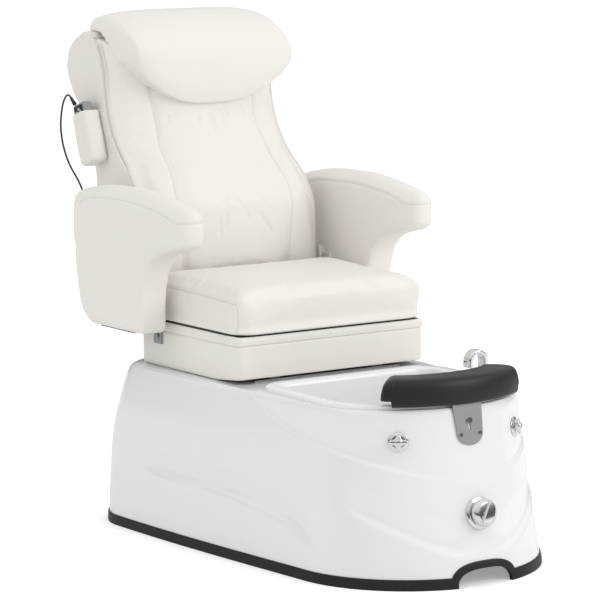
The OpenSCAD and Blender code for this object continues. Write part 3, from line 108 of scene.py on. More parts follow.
def aimed(name, data, facts):
    # a camera or a lamp in its place, turned to what it points at
    item = bpy.data.objects.new(name, data)
    bpy.context.scene.collection.objects.link(item)
    item.location = facts["place"]
    item.rotation_euler = (Vector(facts["aim"]) - item.location).to_track_quat("-Z", "Y").to_euler()
    return item


# Camera at the photograph's angle
camera = {
    "place": (-4.5326, -6.3599, 1.7352),
    "aim": (0.0, -0.012, 0.65),
    "lens": 196.97,
    "shift": (-0.06832, -0.04182),
}
view = aimed("photoCamera", bpy.data.cameras.new("photoCamera"), camera)
view.data.lens = camera["lens"]
view.data.sensor_width = 36
view.data.shift_x, view.data.shift_y = camera["shift"]
view.data.clip_end = 60
bpy.context.scene.camera = view
print("camera placed")


# One value travelling through a material's nodes
class Wire:
    def __init__(self, board, socket):
        self.board = board
        self.socket = socket

    def with_(self, operation, other, flipped=False):
        pair = (other, self) if flipped else (self, other)
        return self.board.add("Math", {"operation": operation}, {0: pair[0], 1: pair[1]})

    def __add__(self, other):
        return self.with_("ADD", other)

    def __radd__(self, other):
        return self.with_("ADD", other, True)

    def __sub__(self, other):
        return self.with_("SUBTRACT", other)

    def __rsub__(self, other):
        return self.with_("SUBTRACT", other, True)

    def __mul__(self, other):
        return self.with_("MULTIPLY", other)

    def __rmul__(self, other):
        return self.with_("MULTIPLY", other, True)


# The nodes of one material, or of the world
class Board:
    inputs = {
        "colour": "Base Color", "rough": "Roughness", "metal": "Metallic", "coat": "Coat Weight",
        "coatRough": "Coat Roughness", "sheen": "Sheen Weight", "sheenRough": "Sheen Roughness",
        "specular": "Specular IOR Level", "normal": "Normal",
    }

    def __init__(self, name, store="materials"):
        self.holder = getattr(bpy.data, store).new(name)
        self.holder.use_nodes = True
        self.tree = self.holder.node_tree
        self.shader = self.tree.nodes.get("Principled BSDF")

    def add(self, kind, settings=None, values=None, output=0):
        node = self.tree.nodes.new("ShaderNode" + kind)
        for key, value in (settings or {}).items():
            if key == "stops":
                self.graded(node.color_ramp.elements, value)
            else:
                setattr(node, key, value)
        for key, value in (values or {}).items():
            self.feed(node.inputs[key], value)
        return Wire(self, node.outputs[output])

    def graded(self, marks, stops):
        # grey tones of a colour ramp, each with its place
        for mark, (spot, tone) in zip(marks, (stops[0], stops[-1])):
            mark.position, mark.color = spot, (tone, tone, tone, 1)
        for spot, tone in stops[1:-1]:
            marks.new(spot).color = (tone, tone, tone, 1)

    def feed(self, socket, value):
        if isinstance(value, Wire):
            self.tree.links.new(value.socket, socket)
        else:
            socket.default_value = value

    def place(self, scale=(1, 1, 1)):
        spot = self.add("TexCoord", output="Object")
        return self.add("Mapping", values={"Vector": spot, "Scale": scale})

    def noise(self, scale, detail=2.0, spot=None):
        return self.add("TexNoise", values={"Vector": spot or self.place(), "Scale": scale, "Detail": detail})

    def tint(self, amount, colour, low, high):
        # the colour made darker or lighter, between these two factors
        ends = [(*(min(1.0, c * factor) for c in colour), 1) for factor in (low, high)]
        return self.add("Mix", {"data_type": "RGBA"}, {0: amount, 6: ends[0], 7: ends[1]}, 2)

    def bump(self, height, depth, strength=1.0):
        return self.add("Bump", values={"Height": height, "Distance": depth, "Strength": strength})

    def surface(self, **values):
        for key, value in values.items():
            if isinstance(value, tuple):
                value = (*value, 1)
            self.feed(self.shader.inputs[self.inputs[key]], value)
        return self.holder


def leather(name, colour, rough=0.47):
    # pebbled leatherette with slow changes of tone and gloss
    board = Board(name)
    spot = board.place()
    cells = board.add("TexVoronoi", {"feature": "DISTANCE_TO_EDGE"}, {"Vector": spot, "Scale": 620.0})
    fine = board.noise(1500.0, 2.0, spot)
    clouds = board.noise(7.0, 3.0, spot)
    pebble = board.add("MapRange", values={0: cells, 1: 0.0, 2: 0.32, 3: 0.0, 4: 1.0})
    height = pebble * 0.7 + fine * 0.3
    return board.surface(
        colour=board.tint(clouds, colour, 0.965, 1.02),
        rough=rough + 0.1 * (clouds - 0.5) - 0.07 * (pebble - 0.5),
        specular=0.42,
        sheen=0.06,
        sheenRough=0.5,
        normal=board.bump(height, 0.00018, 0.55),
    )


def gelcoat(name, colour):
    # glossy moulded shell: a faint ripple and a few dull patches
    board = Board(name)
    spot = board.place()
    ripple = board.noise(34.0, 2.0, spot)
    patches = board.noise(5.0, 4.0, spot)
    return board.surface(
        colour=board.tint(patches, colour, 0.985, 1.01),
        rough=0.2 + 0.08 * patches,
        coat=0.35,
        coatRough=0.06,
        specular=0.45,
        normal=board.bump(ripple, 0.0006, 0.12),
    )


def moulded(name, colour, rough, scale=900.0, depth=0.00012):
    # plastic or rubber with a fine spark-eroded grain
    board = Board(name)
    spot = board.place()
    grain = board.noise(scale, 3.0, spot)
    dust = board.noise(18.0, 4.0, spot)
    return board.surface(
        colour=board.tint(dust, colour, 0.9, 1.12),
        rough=rough + 0.12 * (dust - 0.5) + 0.05 * (grain - 0.5),
        specular=0.4,
        normal=board.bump(grain, depth, 0.5),
    )


def polished(name, colour, rough):
    # plated metal with faint wiping marks
    board = Board(name)
    spot = board.place((1, 1, 3))
    marks = board.noise(60.0, 5.0, spot)
    film = board.noise(9.0, 3.0, spot)
    return board.surface(
        colour=board.tint(film, colour, 0.96, 1),
        metal=1.0,
        rough=rough + 0.05 * marks + 0.04 * film,
        normal=board.bump(marks, 0.00002, 0.25),
    )


def brushed(name, colour, rough, scale=(900, 900, 14)):
    # sheet steel with a directional brushed grain
    board = Board(name)
    lines = board.noise(1.0, 3.0, board.place(scale))
    film = board.noise(22.0, 3.0)
    return board.surface(
        colour=board.tint(film, colour, 0.9, 1.08),
        metal=0.9,
        rough=rough + 0.14 * (lines - 0.5) + 0.06 * film,
        normal=board.bump(lines, 0.00006, 0.35),
    )


def zinc(name, colour):
    # galvanised tube: crystal patches of different tone
    board = Board(name)
    spot = board.place()
    patches = board.add("TexVoronoi", values={"Vector": spot, "Scale": 120.0}, output=1)
    tone = board.add("RGBToBW", values={0: patches})
    film = board.noise(40.0, 3.0, spot)
    return board.surface(
        colour=board.tint(tone, colour, 0.8, 1.15),
        metal=0.75,
        rough=0.38 + 0.16 * tone,
        normal=board.bump(film, 0.00008, 0.4),
    )


finish = {
    "ivory": leather("ivoryLeather", (0.835, 0.808, 0.762)),
    "ivoryShell": leather("ivoryShellLeather", (0.80, 0.775, 0.725), 0.5),
    "skirt": leather("skirtLeather", (0.825, 0.8, 0.752), 0.5),
    # welt cords: same leather, darker, as painted shade along the seams
    "seamShade": leather("seamShadeLeather", (0.74, 0.715, 0.67), 0.55),
    "shell": gelcoat("whiteGelcoat", (0.81, 0.811, 0.814)),
    "basin": gelcoat("basinGelcoat", (0.86, 0.861, 0.864)),
    "trim": moulded("trimRubber", (0.008, 0.008, 0.009), 0.5, 420.0, 0.0002),
    "pad": moulded("padSkin", (0.009, 0.0095, 0.0105), 0.42, 700.0, 0.00016),
    "board": moulded("boardBlack", (0.02, 0.02, 0.02), 0.6),
    "chrome": polished("bathChrome", (0.72, 0.73, 0.74), 0.05),
    "steel": brushed("bracketSteel", (0.34, 0.34, 0.345), 0.38),
    "zinc": zinc("frameZinc", (0.46, 0.47, 0.48)),
    "grey": moulded("remoteGrey", (0.3, 0.305, 0.31), 0.42),
    "black": moulded("plasticBlack", (0.02, 0.02, 0.022), 0.38),
    "pipe": moulded("pipeGrey", (0.4, 0.41, 0.42), 0.45),
    "glow": moulded("buttonGrey", (0.5, 0.51, 0.52), 0.5),
}
print("materials ready")


def applyFinish(piece, kind, **settings):
    # a modifier with these settings, applied at once
    modifier = piece.modifiers.new(kind.title(), kind)
    for key, value in settings.items():
        setattr(modifier, key, value)
    chosen(piece)
    bpy.ops.object.modifier_apply(modifier=modifier.name)


def editing(piece):
    chosen(piece)
    bpy.ops.object.mode_set(mode="EDIT")
    bpy.ops.mesh.select_all(action="SELECT")


def doneEditing(outward=True):
    if outward:
        bpy.ops.mesh.select_all(action="SELECT")
        bpy.ops.mesh.normals_make_consistent(inside=False)
    bpy.ops.object.mode_set(mode="OBJECT")


def closeSkin(piece, fill=False, weld=0.00004):
    # welds the seam of a rolled grid, and fills its open ends if asked
    editing(piece)
    bpy.ops.mesh.remove_doubles(threshold=weld)
    if fill:
        bpy.ops.mesh.select_mode(type="EDGE")
        bpy.ops.mesh.select_all(action="DESELECT")
        bpy.ops.mesh.select_non_manifold()
        bpy.ops.mesh.fill_holes(sides=0)
        bpy.ops.mesh.select_mode(type="VERT")
    doneEditing()


def gridPiece(name, across, along, spot):
    # a flat grid whose every point is then moved to spot(u, v)
    clearSelection()
    bpy.ops.mesh.primitive_grid_add(x_subdivisions=across, y_subdivisions=along, size=2)
    piece = named(name)
    for point in piece.data.vertices:
        point.co = spot((point.co.x + 1) / 2, (point.co.y + 1) / 2)
    return piece


def prism(name, corners, push):
    # an outline pushed out to a solid
    clearSelection()
    bpy.ops.mesh.primitive_circle_add(vertices=len(corners), radius=1, fill_type="NGON")
    piece = named(name)
    for point, corner in zip(piece.data.vertices, corners):
        point.co = corner
    editing(piece)
    bpy.ops.mesh.extrude_region_move(TRANSFORM_OT_translate={"value": push})
    doneEditing()
    return piece


def boxPiece(name, low, high, bevel=0.0, segments=2):
    clearSelection()
    bpy.ops.mesh.primitive_cube_add(size=1)
    piece = named(name)
    for point in piece.data.vertices:
        point.co = [blendOf(a, b, c + 0.5) for a, b, c in zip(low, high, point.co)]
    if bevel:
        applyFinish(piece, "BEVEL", width=bevel, segments=segments)
    return piece


def lathe(name, profile, place, steps):
    # profile points are radius and height along the placed Z axis
    def spot(u, v):
        r, h = profile[round(v * (len(profile) - 1))]
        turn = 2 * math.pi * u
        return place @ Vector((r * math.cos(turn), r * math.sin(turn), h))

    piece = gridPiece(name, steps, len(profile) - 1, spot)
    closeSkin(piece)
    return piece


def tube(name, path, radius, sides):
    # a round bar carried along the path without twist
    side = Vector((1, 0, 0))
    rings = []
    for i, point in enumerate(path):
        ahead = (path[min(i + 1, len(path) - 1)] - path[max(i - 1, 0)]).normalized()
        if abs(ahead.dot(side)) > 0.95:
            side = Vector((0, 0, 1))
        side = (side - ahead * ahead.dot(side)).normalized()
        rings.append((point, side.copy(), ahead.cross(side)))

    def spot(u, v):
        point, a, b = rings[round(v * (len(rings) - 1))]
        turn = 2 * math.pi * u
        return point + radius * (math.cos(turn) * a + math.sin(turn) * b)

    piece = gridPiece(name, sides, len(path) - 1, spot)
    closeSkin(piece, True)
    return piece


def rodPiece(name, low, high, radius, sides=48):
    return tube(name, [Vector(low).lerp(Vector(high), i / 2) for i in range(3)], radius, sides)


def loftPiece(name, rings, closed=True, fill=False):
    # a skin through rings of equal count
    count = len(rings[0])
    across = count if closed else count - 1

    def spot(u, v):
        return rings[round(v * (len(rings) - 1))][round(u * across) % count]

    piece = gridPiece(name, across, len(rings) - 1, spot)
    closeSkin(piece, fill)
    return piece


def facing(piece, axis, want, pick):
    # turns the skin over when the picked faces look the wrong way
    total = sum(f.normal[axis] * f.area for f in piece.data.polygons if pick(f.center))
    if total * want < 0:
        editing(piece)
        bpy.ops.mesh.flip_normals()
        doneEditing(False)


def cutAway(piece, cutter):
    applyFinish(piece, "BOOLEAN", object=cutter, operation="DIFFERENCE", solver="EXACT")
    bpy.data.objects.remove(cutter)


def joined(name, pieces):
    clearSelection()
    for piece in pieces:
        piece.select_set(True)
    bpy.context.view_layer.objects.active = pieces[0]
    bpy.ops.object.join()
    pieces[0].name = name
    return pieces[0]


def finished(piece, body, slot, look, *nodes, angle=40):
    # smooth shading, a finish, and the piece's place in the frame
    chosen(piece)
    bpy.ops.object.shade_smooth_by_angle(angle=math.radians(angle))
    if not piece.data.materials:
        piece.data.materials.append(finish[look])
    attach(piece, body)
    if nodes:
        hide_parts(*nodes)
    return piece


# Remote control's cable, from its relief to the gland in the backrest
cable = {
    "points": [
        (-293, 748, 1038), (-293, 753, 1042), (-293, 759, 1044), (-294, 766, 1043), (-294, 773, 1038),
        (-294, 780, 1030), (-294, 787, 1018), (-294, 792, 1002), (-294, 796, 985), (-294, 798, 967),
        (-294, 797, 950), (-294, 793, 933), (-294, 788, 917), (-294, 780, 901), (-294, 770, 885),
        (-294, 758, 870), (-294, 745, 857), (-294, 731, 846), (-294, 716, 833), (-294, 702, 818),
        (-294, 690, 802), (-294, 680, 785), (-293, 673, 768), (-291, 668, 753), (-287, 665, 741),
        (-281, 664, 733), (-275, 664, 729), (-268, 664, 728),
    ],
    "radius": 0.0025,
}
cablePath = [Vector(p) / 1000 for p in cable["points"]]
line = bpy.data.curves.new("remoteLead", "CURVE")
line.dimensions = "3D"
line.bevel_depth = cable["radius"]
line.bevel_resolution = 4
line.use_fill_caps = True
strand = line.splines.new("POLY")
strand.points.add(len(cablePath) - 1)
for point, place in zip(strand.points, cablePath):
    point.co = (*place, 1)
lead = bpy.data.objects.new("remoteLead", line)
bpy.context.scene.collection.objects.link(lead)
lead.data.materials.append(finish["black"])
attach(lead, "backrest")
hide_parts("remote_cable")

# Base shell
shell = {
    "length": 1.18,
    "width": 0.70,
    "deck": 0.402,
    "noseWidth": 0.63,
    "noseLength": 0.30,
    "cornerRadius": 0.14,
    "wall": 0.005,
    "foot": 0.006,
    "recess": 0.005,
    "levels": [
        (0, 1, 1, 1, 1), (0.226, 0.968, 0.937, 0.991, 0.993), (0.488, 0.93, 0.863, 0.977, 0.98),
        (0.654, 0.905, 0.813, 0.96, 0.958), (0.761, 0.889, 0.783, 0.943, 0.932),
        (0.898, 0.87, 0.747, 0.909, 0.903), (0.985, 0.857, 0.723, 0.88, 0.869), (1, 0.851, 0.71, 0.857, 0.853),
    ],
    "corners": [(0, 1), (0.5, 0.91), (0.75, 0.82), (1, 0.66)],
    "crease": [
        (-1, 0.59), (-0.98, 0.6), (-0.92, 0.64), (-0.84, 0.68), (-0.74, 0.715), (-0.6, 0.755),
        (-0.41, 0.795), (-0.17, 0.91), (-0.1, 0.965), (-0.03, 0.985), (1, 0.985),
    ],
    "panel": [(-1, 0), (-0.975, 0.1), (-0.93, 0.6), (-0.86, 1), (-0.2, 1), (-0.12, 0.7), (-0.06, 0), (1, 0)],
    "steps": (72, 28, 14, 14, 14, 28),
    "lowRings": 56,
    "highRings": 34,
    "gather": (0.35, 0.45),  # how much the rings gather under the crease and above it
    "panelEdge": 0.009,
    "softTop": 0.2,
    "softFade": 0.1,
    "socket": ((0.1, 0.5, 0.108), (0.14, 0.62, 0.132)),
}
# Two softer lines on the shell: y and z of each, where it starts and ends, and how far up its dip fades out
softLines = [
    {
        "line": curveThrough([(-0.575, 0.066), (-0.545, 0.095), (-0.495, 0.13), (-0.424, 0.169), (-0.37, 0.208)]),
        "ends": (-0.578, -0.555, -0.46, -0.375), "depth": 0.0092, "fade": 0.075, "rise": 0.01,
    },
    {
        "line": curveThrough([
            (-0.34, 0.06), (-0.246, 0.118), (-0.135, 0.137), (-0.015, 0.152), (0.162, 0.157), (0.373, 0.161),
        ]),
        "ends": (-0.34, -0.27, 0.25, 0.37), "depth": 0.0070, "fade": 0.07, "rise": 0.01,
    },
]
noseY = shell["noseLength"] - shell["length"] / 2
levelOf = [curveThrough(shell["levels"], k) for k in range(1, 5)]
cornerOf = curveThrough(shell["corners"])
creaseOf = curveThrough(shell["crease"])
panelOf = curveThrough(shell["panel"])


def ringPoint(t, a, b, w, e, r):
    # round nose, right side, rear corner, rear, rear corner and left side, one unit of t each
    if t <= 1:
        return -a * math.cos(math.pi * t), noseY - b * math.sin(math.pi * t)
    if t <= 2:
        return a + (w - a) * math.sin(math.pi / 2 * (t - 1)), noseY + (e - r - noseY) * (t - 1)
    if t <= 3:
        turn = (t - 2) * math.pi / 2
        return w - r + r * math.cos(turn), e - r + r * math.sin(turn)
    if t <= 4:
        return blendOf(w - r, r - w, t - 3), e
    if t <= 5:
        turn = (t - 4) * math.pi / 2
        return r - w - r * math.sin(turn), e - r + r * math.cos(turn)
    k = 6 - t
    return -a - (w - a) * math.sin(math.pi / 2 * k), noseY + (e - r - noseY) * k


def baseSizes(z, d=0.0):
    # nose half width and length, half width, rear and corner radius at this height, a distance d inside
    share = z / shell["deck"]
    return (
        levelOf[0](share) * shell["noseWidth"] / 2 - d,
        levelOf[1](share) * shell["noseLength"] - d,
        levelOf[2](share) * shell["width"] / 2 - d,
        levelOf[3](share) * shell["length"] / 2 - d,
        shell["cornerRadius"] * cornerOf(share) - d,
    )


def basePoint(t, z, d=0.0):
    return ringPoint(t, *baseSizes(z, d))


def alongRing(u, steps):
    # spreads the points over the six parts of a ring
    left = u * sum(steps)
    for k, count in enumerate(steps):
        if left <= count + 1e-6:
            return k + min(1.0, left / count)
        left -= count
    return 6.0


def softDip(y, z):
    dip = 0.0
    for soft in softLines:
        a, b, c, d = soft["ends"]
        window = ease((y - a) / (b - a)) * (1 - ease((y - c) / (d - c)))
        if window > 0:
            up = z - soft["line"](y)
            dip += soft["depth"] * window * ease(up / soft["rise"] + 0.3) * (1 - ease(up / soft["fade"]))
    return dip


def shellSpot(u, v):
    t = alongRing(u, shell["steps"])
    along = 2 * basePoint(t, 0)[1] / shell["length"]
    crease = shell["deck"] * creaseOf(along)
    share = shell["lowRings"] / (shell["lowRings"] + shell["highRings"])
    under, above = shell["gather"]
    if v <= share:
        w = v / share
        z = blendOf(shell["foot"], crease, blendOf(w, math.sin(math.pi / 2 * w), under))
        dip = 0.0
    else:
        w = (v - share) / (1 - share)
        w = blendOf(w, w * w, above)
        z = blendOf(crease, shell["deck"], w)
        dip = shell["recess"] * panelOf(along) * (1 - ease(w))
        dip *= ease((z - crease) / shell["panelEdge"])
    y = basePoint(t, z)[1]
    dip += softDip(y, z) * (1 - ease((z - shell["softTop"]) / shell["softFade"]))
    return (*basePoint(t, z, dip), z)


basin = {
    "half": 0.232, "nose": 0.170, "rear": -0.05, "floor": 0.150, "wall": 0.004, "round": 0.045,
    "steps": (60, 8, 10, 24, 10, 8), "opening": 0.004,
}
arch = {
    "half": 0.077, "high": 0.04, "power": 2.6, "steps": 44, "gap": 0.006, "sill": -0.01, "from": -0.65, "deep": 0.3,
}


def deeSpot(t, grow, z):
    r = max(0.004, basin["round"] + grow)
    a = basin["half"] + grow
    return (*ringPoint(t, a, basin["nose"] + grow, a, basin["rear"] + grow, r), z)


def superSpot(turn, power):
    # a point of the superellipse of half width 1
    return [math.copysign(abs(c) ** (2 / power), c) for c in (math.cos(turn), math.sin(turn))]


def superArch(grow, steps=arch["steps"]):
    spots = [superSpot(math.pi * i / steps, arch["power"]) for i in range(steps + 1)]
    return [(x * (arch["half"] + grow), z * (arch["high"] + grow)) for x, z in spots]


def frontCutter(grow):
    side = arch["half"] + grow
    corners = [(side, arch["sill"]), *superArch(grow), (-side, arch["sill"])]
    return prism("archCutter", [(x, arch["from"], z) for x, z in corners], (0, arch["deep"], 0))


body = gridPiece("baseShell", sum(shell["steps"]), shell["lowRings"] + shell["highRings"], shellSpot)
clearSelection()
bpy.ops.mesh.primitive_circle_add(vertices=sum(basin["steps"]), radius=1)
opening = bpy.context.object
for i, point in enumerate(opening.data.vertices):
    t = alongRing(i / len(opening.data.vertices), basin["steps"])
    point.co = deeSpot(t, basin["opening"], shell["deck"])
body = joined("baseShell", [body, opening])
editing(body)
bpy.ops.mesh.remove_doubles(threshold=0.00004)
bpy.ops.mesh.select_all(action="DESELECT")
doneEditing(False)
for edge in body.data.edges:
    edge.select = all(body.data.vertices[i].co.z > shell["deck"] - 1e-5 for i in edge.vertices)
bpy.ops.object.mode_set(mode="EDIT")
bpy.ops.mesh.select_mode(type="EDGE")
bpy.ops.mesh.fill(use_beauty=True)
bpy.ops.mesh.select_mode(type="VERT")
doneEditing()
facing(body, 2, 1, lambda c: c.z > shell["deck"] - 0.0001)
applyFinish(body, "SOLIDIFY", thickness=shell["wall"], offset=-1)
cutAway(body, frontCutter(arch["gap"]))
cutAway(body, boxPiece("socketCutter", *shell["socket"]))
finished(body, "base", "shell_white", "shell", "base_shell", angle=35)
print("base shell made")

# Rubber trim along the foot of the shell and over the front arch
trim = {
    "height": 0.025, "out": 0.003, "inside": 0.006, "band": 0.017, "archSteps": 56, "steps": 190,
    "spread": 0.02, "start": 0.004, "weld": 0.0002,
}
trimShape = [
    (0.0, -0.4), (0.0, 0.55), (0.0, 0.85), (0.04, 1.0), (0.14, 1.12), (0.5, 1.18), (0.86, 1.12), (0.96, 1.0),
    (1.0, 0.85), (1.0, 0.55), (1.0, -0.4),
]


def frontParameter(x, z):
    # the outline parameter of a place on the nose
    a = baseSizes(z)[0]
    return math.acos(max(-1.0, min(1.0, -x / a))) / math.pi


inner = superArch(0.0, trim["archSteps"])
outer = superArch(trim["band"], trim["archSteps"])
edges = []  # lower and upper edge of the band, as outline parameter and height
riseX = max(x for x, z in outer if z >= trim["height"])
for low, high in zip(inner, outer):
    x, z = high
    if z < trim["height"]:
        x, z = math.copysign(riseX + (trim["height"] - z) * trim["spread"], x), trim["height"]
    edges.append((frontParameter(*low), low[1], frontParameter(x, z), z))
edges.reverse()
start = frontParameter(riseX + trim["start"], trim["height"])
rest = []
for i in range(trim["steps"] + 1):
    t = start + (6 + (1 - start) - start) * i / trim["steps"]
    t = t if t <= 6 else t - 6
    rest.append((t, 0.0, t, trim["height"]))
band = edges + rest + edges[:1]


def trimSpot(u, v):
    lowT, lowZ, highT, highZ = band[min(len(band) - 1, round(v * (len(band) - 1)))]
    across, out = trimShape[round(u * (len(trimShape) - 1))]
    t = blendOf(lowT, highT, across)
    z = blendOf(lowZ, highZ, across)
    return (*basePoint(t, z, -trim["out"] * out if out > 0 else trim["inside"]), z)


rubber = gridPiece("edgeTrim", len(trimShape) - 1, len(band) - 1, trimSpot)
closeSkin(rubber, weld=trim["weld"])
finished(rubber, "base", "rubber_black", "trim", "edge_trim", angle=50)
print("trim made")

# Foot basin: rim on the deck, tilted wall, flat floor and drain hole
rimRings = [
    (0.029, 0.402), (0.0292, 0.4075), (0.0285, 0.41), (0.0265, 0.4115), (0.023, 0.412), (0.008, 0.4115),
    (0.0005, 0.411), (-0.0025, 0.4095), (-0.0045, 0.4065), (-0.0058, 0.4),
]
tub = {
    "tilt": 0.04, "wallRings": 30, "wallTop": 0.413, "share": 0.93, "power": 1.5, "drain": (0.0, -0.26),
    "hole": 0.028, "floorRings": (0.15, 0.35, 0.6, 0.85, 1.0),
}
tiltOf = curveThrough([(0, 1), (0.04, 0.82), (0.16, 0.62), (0.5, 0.36), (1, 0)])


def deeRing(grow, z):
    count = sum(basin["steps"])
    return [deeSpot(alongRing(i / count, basin["steps"]), grow, z) for i in range(count)]


rings = [deeRing(grow, z) for grow, z in rimRings]
for i in range(1, tub["wallRings"] + 1):
    share = tub["share"] * (1 - i / tub["wallRings"]) ** tub["power"]
    grow = -basin["wall"] - tub["tilt"] * tiltOf(share)
    rings.append(deeRing(grow, blendOf(basin["floor"], tub["wallTop"], share)))
floorRing = rings[-1]
centre = Vector(tub["drain"])
for w in tub["floorRings"]:
    ring = []
    for x, y, z in floorRing:
        reach = Vector((x, y)) - centre
        ring.append((*(centre + reach.lerp(reach.normalized() * tub["hole"], w)), z))
    rings.append(ring)
tubPiece = loftPiece("footBasin", rings)
facing(tubPiece, 2, 1, lambda c: c.z < basin["floor"] + 0.01)
applyFinish(tubPiece, "SOLIDIFY", thickness=basin["wall"], offset=-1)
finished(tubPiece, "base", "basin_white", "basin", "foot_basin", angle=35)
print("basin made")


def superRing(centre, wide, thick, halfWide, halfThick, power=4.0, count=48):
    # superellipse section on two axes
    spots = [superSpot(2 * math.pi * i / count, power) for i in range(count)]
    return [centre + wide * (x * halfWide) + thick * (y * halfThick) for x, y in spots]


# Waterfall spout: a flat band bent over into the basin, hollow at its mouth
spout = {
    "legX": 0.247, "y": -0.25, "foot": 0.412, "bend": 0.452, "radius": 0.022, "bendSteps": 32,
    "legRings": (0.0, 0.01, 0.02, 0.03), "mouthRings": (0.007, 0.014), "halfWide": 0.015, "halfThick": 0.006,
    "mouth": [(0.0016, 0.0), (0.0019, 0.002), (0.0021, 0.012)], "bevel": 0.0004,
    "rose": [(0.0, 0.0), (0.0, 0.0025), (-0.0007, 0.0035), (-0.0017, 0.004), (-0.0034, 0.004)],
    "roseX": 0.246, "roseHalf": (0.019, 0.009),
}
wideAxis = Vector((0, 1, 0))
outAxis = Vector((1, 0, 0))
course = [(Vector((spout["legX"], spout["y"], spout["foot"] + z)), outAxis) for z in spout["legRings"]]
centre = Vector((spout["legX"] - spout["radius"], spout["y"], spout["bend"]))
for i in range(spout["bendSteps"] + 1):
    turn = math.pi * i / spout["bendSteps"]
    away = Vector((math.cos(turn), 0, math.sin(turn)))
    course.append((centre + away * spout["radius"], away))
mouthX = spout["legX"] - 2 * spout["radius"]
for drop in spout["mouthRings"]:
    course.append((Vector((mouthX, spout["y"], spout["bend"] - drop)), -outAxis))
skins = [superRing(p, wideAxis, n, spout["halfWide"], spout["halfThick"]) for p, n in course]
lip = course[-1][0]
for inset, rise in spout["mouth"]:
    spot = lip + Vector((0, 0, rise))
    skins.append(superRing(spot, wideAxis, -outAxis, spout["halfWide"] - inset, spout["halfThick"] - inset))
band = loftPiece("waterfallSpout", skins, fill=True)
applyFinish(band, "BEVEL", width=spout["bevel"], segments=2, limit_method="ANGLE", angle_limit=math.radians(50))
rose = []
for grow, rise in spout["rose"]:
    spot = Vector((spout["roseX"], spout["y"], spout["foot"] + rise))
    rose.append(superRing(spot, wideAxis, outAxis, *(half + grow for half in spout["roseHalf"])))
band = joined("waterfallSpout", [band, loftPiece("spoutRose", rose, fill=True)])
finished(band, "base", "chrome", "chrome", "waterfall_spout", angle=50)


def frameAt(place, normal, side=1):
    # Z along the outward normal, X level with the floor
    normal = Vector((side * normal[0], normal[1], normal[2])).normalized()
    turn = math.atan2(normal.x, -normal.y)
    across = Vector((math.cos(turn), math.sin(turn), 0))
    up = normal.cross(across)
    made = Matrix((across, up, normal)).transposed().to_4x4()
    made.translation = Vector((side * place[0], place[1], place[2]))
    return made


# Tap escutcheons and handles, drain escutcheon and knob
taps = {
    "place": (0.167902, -0.470458, 0.332), "normal": (0.552095, -0.824793, 0.122099),
    "plate": [
        (0.011, 0), (0.0235, 0), (0.0235, 0.0014), (0.0231, 0.0021), (0.0222, 0.0026), (0.0204, 0.0031),
        (0.0186, 0.0042), (0.0172, 0.0048), (0.0155, 0.005), (0.011, 0.005), (0.011, 0),
    ],
    "offset": 0.0053, "count": 128, "lobes": 3.2, "short": 0.79,
    "rings": [
        (0.009, 0.009, 0), (0.0094, 0.0094, 0.0012), (0.0095, 0.0095, 0.0026), (0.0102, 0.0165, 0.0031),
        (0.0107, 0.0202, 0.0036), (0.0112, 0.0222, 0.0046), (0.0115, 0.0235, 0.0064), (0.0113, 0.0229, 0.008),
        (0.0109, 0.0212, 0.0093), (0.0103, 0.017, 0.0101), (0.0092, 0.0098, 0.0104), (0.0086, 0.0086, 0.0109),
        (0.0079, 0.0079, 0.0122), (0.0064, 0.0064, 0.0134), (0.0038, 0.0038, 0.0141), (0.0004, 0.0004, 0.0143),
    ],
}
drain = {
    "place": (0, -0.556104, 0.162), "normal": (0, -0.9785, 0.206246), "offset": 0.0063,
    "plate": [
        (0, 0), (0.038, 0), (0.038, 0.0018), (0.0374, 0.0029), (0.036, 0.0036), (0.0325, 0.0044), (0.0292, 0.0056),
        (0.0268, 0.006), (0.004, 0.006), (0.004, 0.0185), (0.0034, 0.0192), (0, 0.0192),
    ],
    "knob": [
        (0, 0), (0.0226, 0), (0.0238, 0.0006), (0.024, 0.002), (0.024, 0.0056), (0.0262, 0.0059), (0.0306, 0.006),
        (0.0317, 0.0068), (0.032, 0.0082), (0.032, 0.0168), (0.0316, 0.018), (0.0305, 0.0193), (0.027, 0.0219),
        (0.0238, 0.0236), (0.0222, 0.024), (0, 0.024),
    ],
    "slope": 35, "slopeBase": 0.024, "slopeTurn": 60, "cutter": ((-0.06, 0, -0.004), (0.06, 0.06, 0.05)),
    "bevel": 0.0011,
}


def starRing(place, hub, ear, h):
    # a round hub with two long ears and two short ones
    ring = []
    for i in range(taps["count"]):
        turn = 2 * math.pi * i / taps["count"]
        reach = ear if abs(math.cos(turn)) >= abs(math.sin(turn)) else max(hub, ear * taps["short"])
        r = hub + max(0.0, reach - hub) * abs(math.cos(2 * turn)) ** taps["lobes"]
        ring.append(place @ Vector((r * math.cos(turn), r * math.sin(turn), h)))
    return ring


